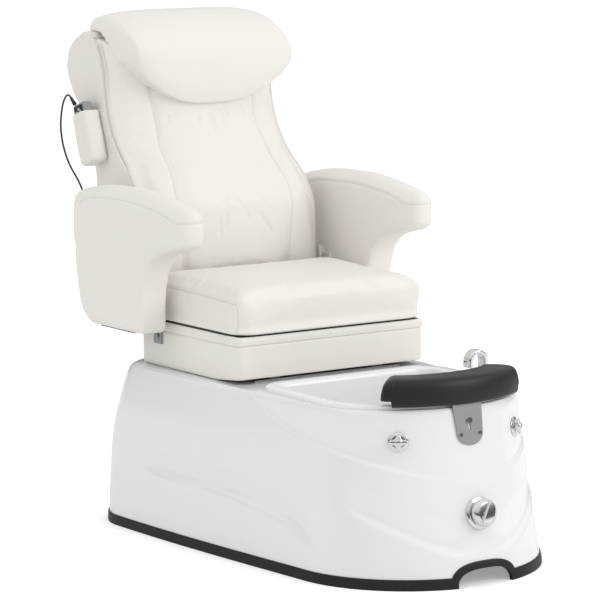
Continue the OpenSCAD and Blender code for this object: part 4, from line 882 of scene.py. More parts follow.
plates = []
for side, name in ((1, "Right"), (-1, "Left")):
    frameOf = frameAt(taps["place"], taps["normal"], side)
    plates.append(lathe("tapPlate" + name, taps["plate"], frameOf, 72))
    lifted = frameOf @ Matrix.Translation((0, 0, taps["offset"]))
    star = loftPiece("tapHandle" + name, [starRing(lifted, *r) for r in taps["rings"]], fill=True)
    finished(star, "tap_" + name.lower(), "chrome", "chrome", "knob_" + name.lower(), angle=60)
finished(joined("tapPlates", plates), "base", "chrome", "chrome", "knob_escutcheons", angle=50)
frameOf = frameAt(drain["place"], drain["normal"])
plate = lathe("drainPlate", drain["plate"], frameOf, 96)
finished(plate, "base", "chrome", "chrome", "drain_escutcheon", angle=50)
knob = lathe("drainKnob", drain["knob"], frameOf @ Matrix.Translation((0, 0, drain["offset"])), 96)
slope = boxPiece("slopeCutter", *drain["cutter"])
slope.data.transform(
    frameOf
    @ Matrix.Translation((0, 0, drain["offset"] + drain["slopeBase"]))
    @ Matrix.Rotation(math.radians(drain["slopeTurn"]), 4, "Z")
    @ Matrix.Rotation(math.radians(drain["slope"]), 4, "X")
)
cutAway(knob, slope)
applyFinish(knob, "BEVEL", width=drain["bevel"], segments=3, limit_method="ANGLE", angle_limit=math.radians(28))
finished(knob, "drain_control", "chrome", "chrome", "drain_knob", angle=32)
print("taps and drain made")

# Footrest pad: a thick foam horseshoe on the rim of the basin
footrest = {
    "halfX": 0.285065, "length": 0.230, "base": 0.4123, "deep": 0.095, "high": 0.063, "angle": 47,
    "apron": 0.012, "apronDrop": 0.002, "endLift": 0.014, "liftTo": 0.07, "liftRun": 0.004, "endLean": 0.06,
    "leanRun": 0.2, "steps": 56, "spread": [0, 0.003, 0.008, 0.016, 0.03, 0.05, 0.066, 0.0698, 0.0742, 0.078],
    "evenly": (0.09, 0.91), "endHigh": 0.35, "endRise": 0.6,
    "section": [
        (0.05, 0), (0.008, 0.02), (0, 0.1), (0.006, 0.36), (0.02, 0.62), (0.045, 0.81), (0.09, 0.93), (0.18, 0.985),
        (0.36, 1.005), (0.55, 1.01), (0.71, 0.995), (0.83, 0.95), (0.905, 0.85), (0.95, 0.68), (0.982, 0.42),
        (1, 0.12),
    ],
    "ends": [(0, 0.42), (0.004, 0.6), (0.012, 0.79), (0.025, 0.91), (0.045, 0.98), (0.07, 1), (0.5, 1)],
}
endOf = curveThrough(footrest["ends"])


def footrestPoint(u, s, z):
    # the ends lean in towards the top, as the sides do
    high = (z - footrest["base"]) / footrest["high"]
    lean = footrest["endLean"] * high * high * (1 - ease(min(u, 1 - u) / footrest["leanRun"]))
    turn = math.radians(footrest["angle"]) * (2 * u - 1) * (1 - lean)
    k = 0.5 + (s - 0.5) * endOf(min(u, 1 - u))
    inset = footrest["deep"] * (1 - k)
    return (
        (footrest["halfX"] - inset) * math.sin(turn),
        noseY - (footrest["length"] - inset) * math.cos(turn),
        z,
    )


def footrestRing(u):
    edge = min(u, 1 - u)
    base = footrest["base"] + footrest["endLift"] * (1 - ease((edge - footrest["liftTo"]) / footrest["liftRun"]))
    room = footrest["high"] + footrest["base"] - base
    full = room * blendOf(endOf(edge), 1.0, footrest["endHigh"])
    rise = (room - full) * footrest["endRise"]
    ring = [footrestPoint(u, s, base + rise * (1 - h) + full * h) for s, h in footrest["section"]]
    low = base - footrest["apronDrop"]
    inner = 1 - footrest["apron"] / footrest["deep"]
    below = ((0.992, low), (inner, low), (inner - 0.02, base), (0.45, base))
    return ring + [footrestPoint(u, s, z) for s, z in below]


even = [blendOf(*footrest["evenly"], i / footrest["steps"]) for i in range(footrest["steps"] + 1)]
spread = footrest["spread"] + even + [1 - s for s in reversed(footrest["spread"])]
pad = loftPiece("footrestPad", [footrestRing(u) for u in spread], fill=True)
applyFinish(pad, "SUBSURF", levels=2, render_levels=2)
finished(pad, "footrest", "pad_black", "pad", "footrest_pad", angle=60)
print("footrest pad made")

# Seat skirt: a leather-covered box, open at the rear, with a proud band along its top
skirt = {
    "half": 0.2745, "front": 0.018, "rear": 0.446, "corner": 0.014, "low": 0.404, "top": 0.516, "lift": 0.011,
    "liftRun": 0.106, "wall": 0.007,
    "levels": [
        (0.0045, 0.0), (0.0028, 0.02), (0.002, 0.06), (0.0016, 0.35), (0.0016, 0.62), (0.0018, 0.729),
        (0.0018, 0.7305), (0.0022, 0.755), (0.0036, 0.782), (0.0046, 0.79), (0.0024, 0.797), (0.0006, 0.812),
        (-0.0004, 0.86), (-0.0004, 0.93), (0.0008, 0.975), (0.0036, 1.0), (0.008, 1.0),
    ],
    "side": 60, "bend": 10, "across": 60, "notchY": 0.4355, "notchZ": 0.4857,
}


def skirtOutline(d):
    # from the rear on the left, round the front, to the rear on the right, a distance d inside
    h, y0, y1, r = skirt["half"] - d, skirt["front"] + d, skirt["rear"], skirt["corner"]
    line = [(-h, blendOf(y1, y0 + r, i / skirt["side"])) for i in range(skirt["side"])]
    for i in range(skirt["bend"] + 1):
        turn = math.pi / 2 * i / skirt["bend"]
        line.append((-h + r - r * math.cos(turn), y0 + r - r * math.sin(turn)))
    line += [(blendOf(-h + r, h - r, i / skirt["across"]), y0) for i in range(1, skirt["across"])]
    return line + [(-x, y) for x, y in reversed(line[: skirt["side"] + skirt["bend"] + 1])]


rings = []
for d, share in skirt["levels"]:
    ring = []
    for x, y in skirtOutline(d):
        low = skirt["low"] + skirt["lift"] * max(0.0, 1 - (y - skirt["front"]) / skirt["liftRun"])
        z = blendOf(low, skirt["top"], share)
        ring.append((x, min(y, skirt["notchY"]) if z > skirt["notchZ"] else y, z))
    rings.append(ring)
box = loftPiece("seatSkirt", rings, closed=False)
facing(box, 1, -1, lambda c: c.y < skirt["front"] + 0.007)
applyFinish(box, "SOLIDIFY", thickness=skirt["wall"], offset=-1)
finished(box, "seat", "shell_cream", "skirt", "seat_skirt", angle=35)
print("skirt made")


# Soft pieces: a swelling under pressure, then seams and folds pressed into the skin
swell = {
    "quality": 5, "mass": 0.3, "tension_stiffness": 18, "compression_stiffness": 18, "shear_stiffness": 8,
    "bending_stiffness": 1.5, "use_pressure": True,
}
swellFrames = 20


def puffed(piece, facts, hold):
    # a cloth skin blown up from inside, each point moving no further than what hold gives it of the cap
    applyFinish(piece, "REMESH", mode="VOXEL", voxel_size=facts["voxel"], use_smooth_shade=True)
    scene = bpy.context.scene
    start = [point.co.copy() for point in piece.data.vertices]
    cloth = piece.modifiers.new("Swell", "CLOTH")
    for key, value in swell.items():
        setattr(cloth.settings, key, value)
    cloth.settings.uniform_pressure_force = facts["pressure"]
    cloth.settings.effector_weights.gravity = 0
    cloth.point_cache.frame_start = 1
    cloth.point_cache.frame_end = swellFrames
    for step in range(1, swellFrames + 1):
        scene.frame_set(step)
    swollen = piece.evaluated_get(bpy.context.evaluated_depsgraph_get()).data
    ends = [point.co.copy() for point in swollen.vertices]
    piece.modifiers.remove(cloth)
    scene.frame_set(1)
    for point, a, b in zip(piece.data.vertices, start, ends):
        move = b - a
        limit = facts["cap"] * hold(a)
        if move.length > limit:
            move *= limit / move.length if move.length else 0.0
        point.co = a + move
    applyFinish(piece, "SUBSURF", levels=1, render_levels=1)


def sampled(path, step):
    # points along the path, no further apart than the step
    points = []
    for a, b in zip(path, path[1:]):
        a, b = Vector(a), Vector(b)
        count = max(1, math.ceil((b - a).length / step))
        points += [a.lerp(b, i / count) for i in range(count)]
    return points + [Vector(path[-1])]


def laidOn(piece, path, sink=0.0, step=0.0015):
    # the path dropped onto the skin of the piece
    laid = []
    for point in sampled(path, step):
        found, place, normal, face = piece.closest_point_on_mesh(point)
        laid.append(place - normal * sink)
    return laid


seamFade = 0.18  # share of a fold's length over which it fades in and out


def seamed(piece, lines):
    # each line is a path on the skin, its depth, its half width, and the share of the depth left at its ends
    tree = KDTree(sum(len(points) for points, depth, width, ends in lines))
    facts = []
    for points, depth, width, ends in lines:
        for i, point in enumerate(points):
            t = i / max(1, len(points) - 1)
            fade = min(1.0, ends + ease(t / seamFade)) * min(1.0, ends + ease((1 - t) / seamFade))
            tree.insert(point, len(facts))
            facts.append((depth * fade, width))
    tree.balance()
    reach = 3 * max(width for points, depth, width, ends in lines)
    normals = [point.normal.copy() for point in piece.data.vertices]
    for point, normal in zip(piece.data.vertices, normals):
        strongest = 0.0
        for place, index, distance in tree.find_range(point.co, reach):
            depth, width = facts[index]
            if distance < 3 * width:
                dip = depth * math.exp(-((distance / width) ** 2))
                if abs(dip) > abs(strongest):
                    strongest = dip
        if strongest:
            point.co -= normal * strongest
    piece.data.update()


def welt(name, points, radius, sides=10):
    # a thin cord along every second point, in a leather darker than the cover: the cord is real, its darker tone is
    # painted shade of the seam line
    spaced = points[::2] + ([points[-1]] if len(points) % 2 == 0 else [])
    line = tube(name, spaced, radius, sides)
    line.data.materials.append(finish["seamShade"])
    return line


# Seat cushion
seat = {
    "half": 0.281, "front": 0.010, "deep": 0.412, "base": 0.5203, "side": 0.082, "rise": 0.010, "crown": 0.017,
    "corner": 0.022, "cornerSteps": 9, "straight": 18, "start": 0.001, "voxel": 0.0065,
    "pressure": 4.0, "cap": 0.012, "capRise": 0.02,
    "levels": [
        (0.03, 0.0, 0), (0.01, 0.0, 0), (0.002, 0.012, 0), (0.0, 0.06, 0), (0.0, 0.25, 0), (0.0, 0.5, 0),
        (0.0, 0.8, 0), (0.003, 0.95, 0.01), (0.012, 1, 0.12), (0.03, 1, 0.3), (0.06, 1, 0.5), (0.1, 1, 0.68),
        (0.17, 1, 0.85), (0.25, 1, 0.95), (0.34, 1, 0.99), (0.42, 1, 1),
    ],
    "under": curveThrough([(0, 2.6), (0.25, 1.7), (0.5, 1.2), (0.78, 1), (1, 1)]),
    "seamX": 0.29, "seamRear": 0.420, "seamRun": 0.365, "seamLift": 0.008, "seamFall": 0.011, "seamBend": 0.032,
    "seamFront": [(0.0225, -0.05), (0.024, -0.065), (0.026, -0.076)], "seam": (0.0028, 0.0055, 1), "welt": 0.0017,
    "frontPuckers": [(0.212, 0.592), (0.206, 0.574), (-0.18, 0.596), (0.05, 0.598), (-0.06, 0.594)],
    "sidePuckers": (0.09, 0.16, 0.25, 0.33), "puckerWide": 0.004,
    "frontPucker": ((0.006, 0.0, -0.013), 0.0009), "sidePucker": ((0.0, 0.004, -0.016), 0.0008),
}


def roundedRing(x0, y0, x1, y1, r, turns, straight):
    # a rectangle with round corners, each of so many turns, and sides of so many steps
    ring = []
    corners = [(x1 - r, y1 - r), (x0 + r, y1 - r), (x0 + r, y0 + r), (x1 - r, y0 + r)]
    for q in range(4):
        cx, cy = corners[q]
        for i in range(turns + 1):
            turn = math.pi / 2 * (q + i / turns)
            ring.append((cx + r * math.cos(turn), cy + r * math.sin(turn)))
        nextX, nextY = corners[(q + 1) % 4]
        turn = math.pi / 2 * (q + 1)
        a = ring[-1]
        b = (nextX + r * math.cos(turn), nextY + r * math.sin(turn))
        ring += [(blendOf(a[0], b[0], i / straight), blendOf(a[1], b[1], i / straight)) for i in range(1, straight)]
    return ring


rings = []
for inset, up, crown in seat["levels"]:
    d = inset * seat["deep"] + seat["start"]
    r = seat["corner"] * (1 - inset) * seat["under"](up)
    ring = []
    for x, y in roundedRing(-seat["half"] + d, seat["front"] + d, seat["half"] - d, seat["front"] + seat["deep"] - d,
                            r, seat["cornerSteps"], seat["straight"]):
        z = seat["base"] + seat["side"] * up + seat["rise"] * up * (y - seat["front"]) / seat["deep"]
        ring.append((x, y, z + seat["crown"] * crown))
    rings.append(ring)
cushion = loftPiece("seatCushion", rings, fill=True)
puffed(cushion, seat, lambda p: ease((p.z - seat["base"]) / seat["capRise"]))
for point in cushion.data.vertices:
    point.co.z = max(point.co.z, seat["base"] + 0.0002)
topEdge = seat["base"] + seat["side"]
sideLine = []
for i in range(13):
    y = seat["seamRear"] - seat["seamRun"] * i / 12
    sideLine.append((y, topEdge + seat["seamLift"] - seat["seamFall"] * i / 12))
bendY, bendZ = sideLine[-1]
for i in range(1, 9):
    turn = math.pi / 2 * i / 8
    sideLine.append((bendY - seat["seamBend"] * math.sin(turn), bendZ - seat["seamBend"] * (1 - math.cos(turn))))
sideLine += [(y, topEdge + z) for y, z in seat["seamFront"]]
cushionSeams = [laidOn(cushion, [(side * seat["seamX"], y, z) for y, z in sideLine]) for side in (-1, 1)]
lines = [(path, *seat["seam"]) for path in cushionSeams]
puckers = [((x, 0.0, z), *seat["frontPucker"]) for x, z in seat["frontPuckers"]]
for y in seat["sidePuckers"]:
    puckers += [((side * seat["seamX"], y, topEdge), *seat["sidePucker"]) for side in (-1, 1)]
for spot, run, depth in puckers:
    path = laidOn(cushion, [spot, Vector(spot) + Vector(run)])
    lines.append((path, depth, seat["puckerWide"], 0))
seamed(cushion, lines)
weltPieces = [welt("cushionWelt", laidOn(cushion, path[::4], 0.0006), seat["welt"]) for path in cushionSeams]
finished(cushion, "seat", "leather_ivory", "ivory", "seat_cushion", angle=60)
finished(joined("cushionWelts", weltPieces), "seat", "leather_ivory", "seamShade", angle=60)
print("seat cushion made")

# Backrest, in shares of its height above the hinge: the pad's edge and crown at each level, and the shell's rear
back = {
    "high": 0.7, "pad": 0.263, "neck": 0.011, "neckFrom": 0.38, "neckRun": 0.1, "edge": 0.025, "half": 0.255,
    "crownPower": 2.4, "groove": 0.0045, "grooveAt": 0.6, "grooveWide": 0.05,
    "profile": [
        (-0.05, -0.085, 0.02), (0.045, -0.085, 0.02), (0.08, -0.066, 0.03), (0.186, -0.067, 0.033),
        (0.283, -0.065, 0.038), (0.381, -0.013, 0.05), (0.436, 0.041, 0.062), (0.486, 0.095, 0.07),
        (0.557, 0.151, 0.08), (0.629, 0.183, 0.084), (0.7, 0.198, 0.084), (0.771, 0.206, 0.075),
        (0.83, 0.224, 0.066), (0.907, 0.271, 0.05), (0.93, 0.3, 0.03),
    ],
    "rear": [
        (-0.043, 0.2), (0, 0.245), (0.086, 0.272), (0.2, 0.293), (0.314, 0.303), (0.369, 0.305), (0.421, 0.31),
        (0.45, 0.323), (0.466, 0.344), (0.65, 0.417), (0.68, 0.451), (0.721, 0.479), (0.786, 0.505),
        (0.826, 0.497), (0.876, 0.461), (0.914, 0.388), (0.932, 0.33),
    ],
}
edgeOf = curveThrough(back["profile"])
crownOf = curveThrough(back["profile"], 2)
rearOf = curveThrough(back["rear"])


def riseOf(z):
    # a height as a share of the backrest's
    return (z - hinge[1]) / back["high"]


def backY(share):
    return hinge[0] + back["high"] * share


def backZ(share):
    return hinge[1] + back["high"] * share


def padEdge(z):
    return backY(edgeOf(riseOf(z)))


def padCrown(z):
    return back["high"] * crownOf(riseOf(z))


def padHalf(z):
    return back["pad"] - back["neck"] * ease((riseOf(z) - back["neckFrom"]) / back["neckRun"])


def padSkin(s, z):
    # the pad's front at share s of its half width: a crown with a shallow groove along each long seam
    y = padEdge(z) - padCrown(z) * (1 - abs(s) ** back["crownPower"])
    return y + back["groove"] * math.exp(-(((abs(s) - back["grooveAt"]) / back["grooveWide"]) ** 2))


cover = {
    "low": 0.052, "high": 0.9, "rows": 84, "columns": 72, "tuck": 0.0005, "start": 0.003, "round": 0.010,
    "roundFrom": 0.965, "voxel": 0.0065, "pressure": 4.0, "cap": 0.012, "held": 0.25, "welt": 0.0012,
    "edgeWelt": 0.0036,
    "folds": [
        [(0.004, 1.004), (0.004, 0.953)], [(0.031, 1.013), (0.039, 0.959)], [(0.048, 1.02), (0.054, 0.987)],
        [(0.104, 1.017), (0.109, 0.988)], [(0.135, 1.024), (0.143, 0.982)], [(-0.118, 0.995), (-0.122, 0.979)],
        [(-0.036, 0.992), (-0.034, 0.967)], [(-0.034, 0.801), (-0.047, 0.778)], [(0.011, 0.774), (0.026, 0.74)],
        [(0.049, 0.767), (0.105, 0.691)], [(0.059, 0.803), (0.078, 0.769)], [(-0.039, 0.773), (-0.043, 0.712)],
        [(-0.06, 0.758), (-0.06, 0.704)], [(-0.006, 0.798), (-0.002, 0.779)],
    ],
    "seam": [
        (0.16, 1.12), (0.154, 1.062), (0.150, 0.988), (0.151, 0.956), (0.158, 0.916), (0.156, 0.889),
        (0.162, 0.855), (0.17, 0.817), (0.168, 0.77), (0.162, 0.70), (0.158, 0.64), (0.158, 0.605),
    ],
    "lumbar": [(-0.166, 0.77), (-0.08, 0.7655), (0, 0.764), (0.08, 0.7655), (0.166, 0.77)],
    "dips": [(0.0046, 0.0072, 1), (0.0026, 0.0072, 1), (0.0014, 0.016, 1), (0.0030, 0.0058, 0)],
}


def roundEdge(share, start):
    # how far a quarter round has turned in at this share
    t = max(0.0, (share - start) / (1 - start))
    return 1 - math.sqrt(max(0.0, 1 - t * t))


rings = []
for i in range(cover["rows"] + 1):
    z = backZ(blendOf(cover["low"], cover["high"], i / cover["rows"]))
    w = padHalf(z) - cover["start"]
    ring = []
    for j in range(cover["columns"] + 1):
        s = 2 * j / cover["columns"] - 1
        s = math.copysign(1 - (1 - abs(s)) ** 1.25, s)
        soft = cover["round"] * roundEdge(abs(s), cover["roundFrom"])
        ring.append((s * w, padSkin(s, z) + cover["start"] + soft, z))
    for s in (1, 0.5, 0, -0.5, -1):
        ring.append((s * (w - cover["tuck"]), padEdge(z) + back["edge"], z))
    rings.append(ring)
padPiece = loftPiece("backPad", rings, fill=True)


def padHold(p):
    return blendOf(cover["held"], 1.0, ease((padEdge(p.z) + cover["cap"] - p.y) / cover["cap"]))


def frontPath(piece, line):
    # a line seen from the front, laid where it meets the skin
    path = []
    for point in sampled([(x, 0, z) for x, z in line], 0.004):
        hit, place, normal, face = piece.ray_cast(Vector((point.x, -0.2, point.z)), Vector((0, 1, 0)))
        path.append(place if hit else Vector((point.x, padEdge(point.z), point.z)))
    return path


def padEdgeLine(side):
    line = []
    for i in range(90):
        z = backZ(blendOf(cover["low"] + 0.006, cover["high"] - 0.01, i / 89))
        line.append(Vector((side * (padHalf(z) + 0.004), padEdge(z) + 0.004, z)))
    return line


puffed(padPiece, cover, padHold)
longSeams = [frontPath(padPiece, [(side * x, z) for x, z in cover["seam"]]) for side in (-1, 1)]
paths = longSeams + [frontPath(padPiece, line) for line in (cover["lumbar"], *cover["folds"])]
dips = cover["dips"] + cover["dips"][-1:] * (len(paths) - len(cover["dips"]))
seamed(padPiece, [(path, *dip) for path, dip in zip(paths, dips)])
finished(padPiece, "backrest", "leather_ivory", "ivory", "back_cushion", angle=60)
weltPieces = [welt("padSeam", laidOn(padPiece, path[::2], 0.0004), cover["welt"]) for path in longSeams]
for side in (-1, 1):
    weltPieces.append(welt("padWelt", laidOn(padPiece, padEdgeLine(side)[::2], -0.0004), cover["edgeWelt"], 14))
finished(joined("backWelts", weltPieces), "backrest", "leather_ivory", "seamShade", angle=60)
print("back pad made")

# Shell behind the pad
carcass = {
    "low": -0.043, "high": 0.92, "rows": 90, "round": 0.034, "turns": 10, "side": 14, "wall": 0.007, "lip": 0.007,
    "open": 0.6, "overlap": 0.008, "border": 0.045, "across": 24, "hub": (0.235, 0.27), "hubRadius": 0.0183,
    "lever": ((0.082, 0.492, 0.51), (0.098, 0.532, 0.545)),
}


def carcassRing(z, d):
    w = back["half"] - d
    y0 = padEdge(z) + back["edge"] - carcass["overlap"]
    y1 = backY(rearOf(riseOf(z))) - d
    r = min(carcass["round"], (y1 - y0) * 0.45)
    ring = [(w, blendOf(y0, y1 - r, i / carcass["side"]), z) for i in range(carcass["side"])]
    for i in range(carcass["turns"] + 1):
        turn = math.pi / 2 * i / carcass["turns"]
        ring.append((w - r + r * math.cos(turn), y1 - r + r * math.sin(turn), z))
    middle = [((w - r) * (1 - 2 * i / carcass["across"]), y1, z) for i in range(1, carcass["across"])]
    return ring + middle + [(-x, y, zz) for x, y, zz in reversed(ring)]


low, high, lip = backZ(carcass["low"]), backZ(carcass["high"]), carcass["lip"]
lipTurns = [math.pi / 2 * k / 5 for k in range(6)]
rings = [carcassRing(low + lip * (1 - math.cos(turn)), lip * (1 - math.sin(turn))) for turn in lipTurns]
rings += [carcassRing(blendOf(low + lip, high - lip, i / carcass["rows"]), 0.0) for i in range(1, carcass["rows"])]
rings += [carcassRing(high - lip * (1 - math.sin(turn)), lip * (1 - math.cos(turn))) for turn in lipTurns]
case = loftPiece("backShell", rings, fill=True)
editing(case)
bpy.ops.mesh.select_all(action="DESELECT")
doneEditing(False)
for face in case.data.polygons:
    xs = [case.data.vertices[i].co.x for i in face.vertices]
    front = max(xs) - min(xs) > back["half"] and face.normal.y < -0.3
    face.select = front and carcass["open"] < face.center.z < high - 0.01
bpy.ops.object.mode_set(mode="EDIT")
bpy.ops.mesh.inset(thickness=carcass["border"])
bpy.ops.mesh.delete(type="FACE")
doneEditing(False)
applyFinish(case, "SOLIDIFY", thickness=carcass["wall"], offset=-1)
for side in (-1, 1):
    hubEnds = [(side * x, *hinge) for x in carcass["hub"]]
    cutAway(case, rodPiece("hubCutter", *hubEnds, carcass["hubRadius"]))
cutAway(case, boxPiece("leverCutter", *carcass["lever"]))
finished(case, "backrest", "shell_cream", "ivoryShell", "back_shell", angle=40)
print("back shell made")

# Head pillow over the top of the backrest
pillow = {
    "half": 0.262, "low": 0.458, "arc": 0.115, "arcPower": 2.6, "steps": 64, "sweep": 0.024, "drop": 0.024,
    "front": 0.055, "curl": 0.018, "flap": 4, "ease": 0.002, "tuck": 0.005, "shellTop": 1.204, "padTop": 1.19,
    "top": [
        (0.94, 0.352), (0.962, 0.348), (0.984, 0.328), (0.99, 0.295), (0.988, 0.25), (0.976, 0.188), (0.95, 0.13),
        (0.91, 0.083), (0.87, 0.06),
    ],
    "under": [0.352, 0.335, 0.32, 0.305, 0.293],
    "right": [(0.7, 1.03), (0.77, 1.04), (0.83, 1.015), (0.88, 0.965), (0.93, 0.935), (0.97, 0.93), (1, 0.95)],
    "left": [(0.7, 0.87), (0.8, 0.87), (0.86, 0.89), (0.9, 0.91), (0.93, 0.92), (0.97, 0.93), (1, 0.955)],
    "columns": 44, "endFrom": 0.93, "endLeast": 0.04, "voxel": 0.0055, "pressure": 4.0, "cap": 0.0045,
    "hold": 0.022, "holdLeast": 0.05,
}
wideRight = curveThrough(pillow["right"])
wideLeft = curveThrough(pillow["left"])


def pillowHalf(s, z):
    return pillow["half"] * (wideRight if s > 0 else wideLeft)(riseOf(z))


def flapLow(s):
    # the flap's lower edge, rising towards its ends
    return hinge[1] + pillow["low"] + pillow["arc"] * abs(s) ** pillow["arcPower"]


def pillowOuter(s):
    # outer side from the rear over the top and down the flap
    chain = []
    b, c = abs(s) ** 8, abs(s) ** 5
    last = len(pillow["top"]) - 1
    for k, (up, out) in enumerate(pillow["top"]):
        y = backY(out) + pillow["sweep"] * b * ease((k - 2) / (last - 2))
        chain.append((y, backZ(up) - pillow["drop"] * c * ease(min(k, last - k) / 3)))
    for k in range(1, pillow["flap"] + 1):
        q = k / pillow["flap"]
        y = backY(pillow["front"] + pillow["curl"] * q ** 3) + pillow["sweep"] * b
        chain.append((y, blendOf(backZ(pillow["top"][-1][0]), flapLow(s), q)))
    return chain


def pillowInner(s):
    # inner side, along the top of the shell and down the front of the pad
    top = pillow["shellTop"] + 0.0005
    chain = [(backY(share), top) for share in pillow["under"][:-1]]
    chain.append((padEdge(pillow["padTop"]) + back["edge"] - pillow["tuck"], top))
    count = len(pillow["top"]) + pillow["flap"] - len(pillow["under"])
    for k in range(count):
        z = blendOf(pillow["padTop"], flapLow(s) + pillow["tuck"], k / (count - 1))
        reach = abs(s) * pillowHalf(s, z) / padHalf(z)
        y = padEdge(z) - padCrown(z) * max(0.0, 1 - reach ** back["crownPower"]) - pillow["ease"]
        chain.append((y, z))
    return chain


def resampled(chain, count):
    # the same chain as evenly spaced points on a smooth curve
    run = [0.0]
    for a, b in zip(chain, chain[1:]):
        run.append(run[-1] + math.dist(a, b))
    curves = [curveThrough([(t, p[k]) for t, p in zip(run, chain)]) for k in range(len(chain[0]))]
    return [tuple(curve(run[-1] * i / (count - 1)) for curve in curves) for i in range(count)]


rings = []
for i in range(2 * pillow["steps"] + 1):
    v = i / pillow["steps"] - 1
    s = math.copysign(1 - (1 - abs(v)) ** 1.5, v)
    full = max(pillow["endLeast"], 1 - roundEdge(abs(s), pillow["endFrom"]))
    outer = resampled(pillowOuter(s), pillow["columns"])
    inner = resampled(pillowInner(s), pillow["columns"])
    ring = [(blendOf(b[0], a[0], full), blendOf(b[1], a[1], full)) for a, b in zip(outer, inner)]
    rings.append([(s * pillowHalf(s, z), y, z) for y, z in ring + inner[::-1]])
headrest = loftPiece("headPillow", rings, fill=True)


def pillowHold(p):
    # free to swell where it is clear of the pad and the shell
    s = min(1.0, abs(p.x) / padHalf(p.z))
    clear = max(padSkin(s, min(p.z, pillow["padTop"])) - p.y, p.z - pillow["shellTop"] - 0.002)
    return max(pillow["holdLeast"], ease(clear / pillow["hold"]))


puffed(headrest, pillow, pillowHold)
finished(headrest, "backrest", "leather_ivory", "ivory", "head_pillow", angle=60)
print("head pillow made")

# Pocket on the left of the shell, and the remote control in it
onBack = Matrix.Translation((0, *hinge)) @ Matrix.Rotation(-lean, 4, "X")
pouch = {
    "inner": -0.2545, "outer": -0.308, "y0": 0.011, "y1": 0.076, "z0": 0.350, "high": 0.133, "corner": 0.016,
    "skins": [
        (0.018, 0.0), (0.010, 0.0008), (0.005, 0.003), (0.0018, 0.0075), (0.0004, 0.014), (-0.0006, 0.03),
        (-0.0012, 0.06), (-0.0008, 0.09), (0.0002, 0.108), (0.0012, 0.1115), (0.0003, 0.115), (-0.0004, 0.12),
        (-0.0004, 0.127), (0.0002, 0.131), (0.0012, 0.1328), (0.0022, 0.133), (0.003, 0.1322), (0.0034, 0.129),
        (0.0032, 0.09), (0.003, 0.03), (0.0042, 0.012), (0.008, 0.007), (0.018, 0.006),
    ],
}
rings = []
for d, up in pouch["skins"]:
    ring = roundedRing(pouch["outer"] + d, pouch["y0"] + d, pouch["inner"] - max(d, 0), pouch["y1"] - d,
                       max(0.003, pouch["corner"] - d), 8, 8)
    rings.append([onBack @ Vector((x, y, pouch["z0"] + up)) for x, y in ring])
bag = loftPiece("sidePocket", rings, fill=True)
finished(bag, "backrest", "shell_cream", "ivoryShell", "side_pocket", angle=50)

remote = {
    "x0": -0.300, "x1": -0.272, "y0": 0.016, "y1": 0.070, "z0": 0.356, "z1": 0.508, "corner": 0.008,
    "skins": [
        (0.006, 0), (0.0028, 0.0008), (0.0008, 0.0028), (0, 0.006), (0, 0.146), (0.0008, 0.1492),
        (0.0028, 0.1512), (0.006, 0.152),
    ],
    "face": {"margin": 0.006, "out": 0.0009, "in": 0.001, "bevel": 0.0006},
    "key": {"margin": 0.009, "half": (0.0045, 0.0035), "out": 0.0015, "in": -0.0004, "bevel": 0.0005},
    "keys": [(0.43, 0.136), (0.43, 0.122), (0.25, 0.129), (0.75, 0.129), (0.5, 0.106), (0.25, 0.09), (0.75, 0.09)],
}


def onFace(name, kind, y, z, look):
    # a thin box on the outer face of the remote, between two places along it
    x, size = remote["x0"], remote[kind]
    piece = boxPiece(name, (x - size["out"], y[0], z[0]), (x + size["in"], y[1], z[1]), size["bevel"])
    piece.data.materials.append(finish[look])
    piece.data.transform(onBack)
    return piece


rings = []
for d, up in remote["skins"]:
    ring = roundedRing(remote["x0"] + d, remote["y0"] + d, remote["x1"] - d, remote["y1"] - d,
                       remote["corner"] - d * 0.6, 6, 4)
    rings.append([onBack @ Vector((x, y, remote["z0"] + up)) for x, y in ring])
handset = loftPiece("remoteControl", rings, fill=True)
handset.data.materials.append(finish["grey"])
margin = remote["face"]["margin"]
sides = [(remote[axis + "0"] + margin, remote[axis + "1"] - margin) for axis in "yz"]
parts = [handset, onFace("remoteFace", "face", *sides, "black")]
margin = remote["key"]["margin"]
for across, up in remote["keys"]:
    spot = (blendOf(remote["y0"] + margin, remote["y1"] - margin, across), remote["z0"] + up)
    sides = [(c - half, c + half) for c, half in zip(spot, remote["key"]["half"])]
    parts.append(onFace("remoteKey", "key", *sides, "glow"))
handset = joined("remoteControl", parts)
finished(handset, "backrest", "plastic_grey", "grey", "remote_control", angle=45)
leadOut = (cablePath[1] - cablePath[0]).normalized()
ribs = {"long": 0.0235, "thick": 0.005, "thin": 0.0031, "count": 6, "steps": 48, "wave": 0.0006}
profile = [(0, -ribs["long"])]
for i in range(ribs["steps"] + 1):
    t = i / ribs["steps"]
    wave = ribs["wave"] * ease(0.5 + 0.9 * math.cos(2 * math.pi * ribs["count"] * t))
    profile.append((blendOf(ribs["thick"], ribs["thin"], t) + wave, -ribs["long"] + (ribs["long"] + 0.0006) * t))
profile += [(0.0027, 0.0012), (0, 0.0012)]
sleeve = leadOut.to_track_quat("Z", "X").to_matrix().to_4x4()
sleeve.translation = cablePath[0]
finished(lathe("remoteRelief", profile, sleeve, 32), "backrest", "plastic_black", "black", "remote_relief", angle=60)
print("pocket and remote made")

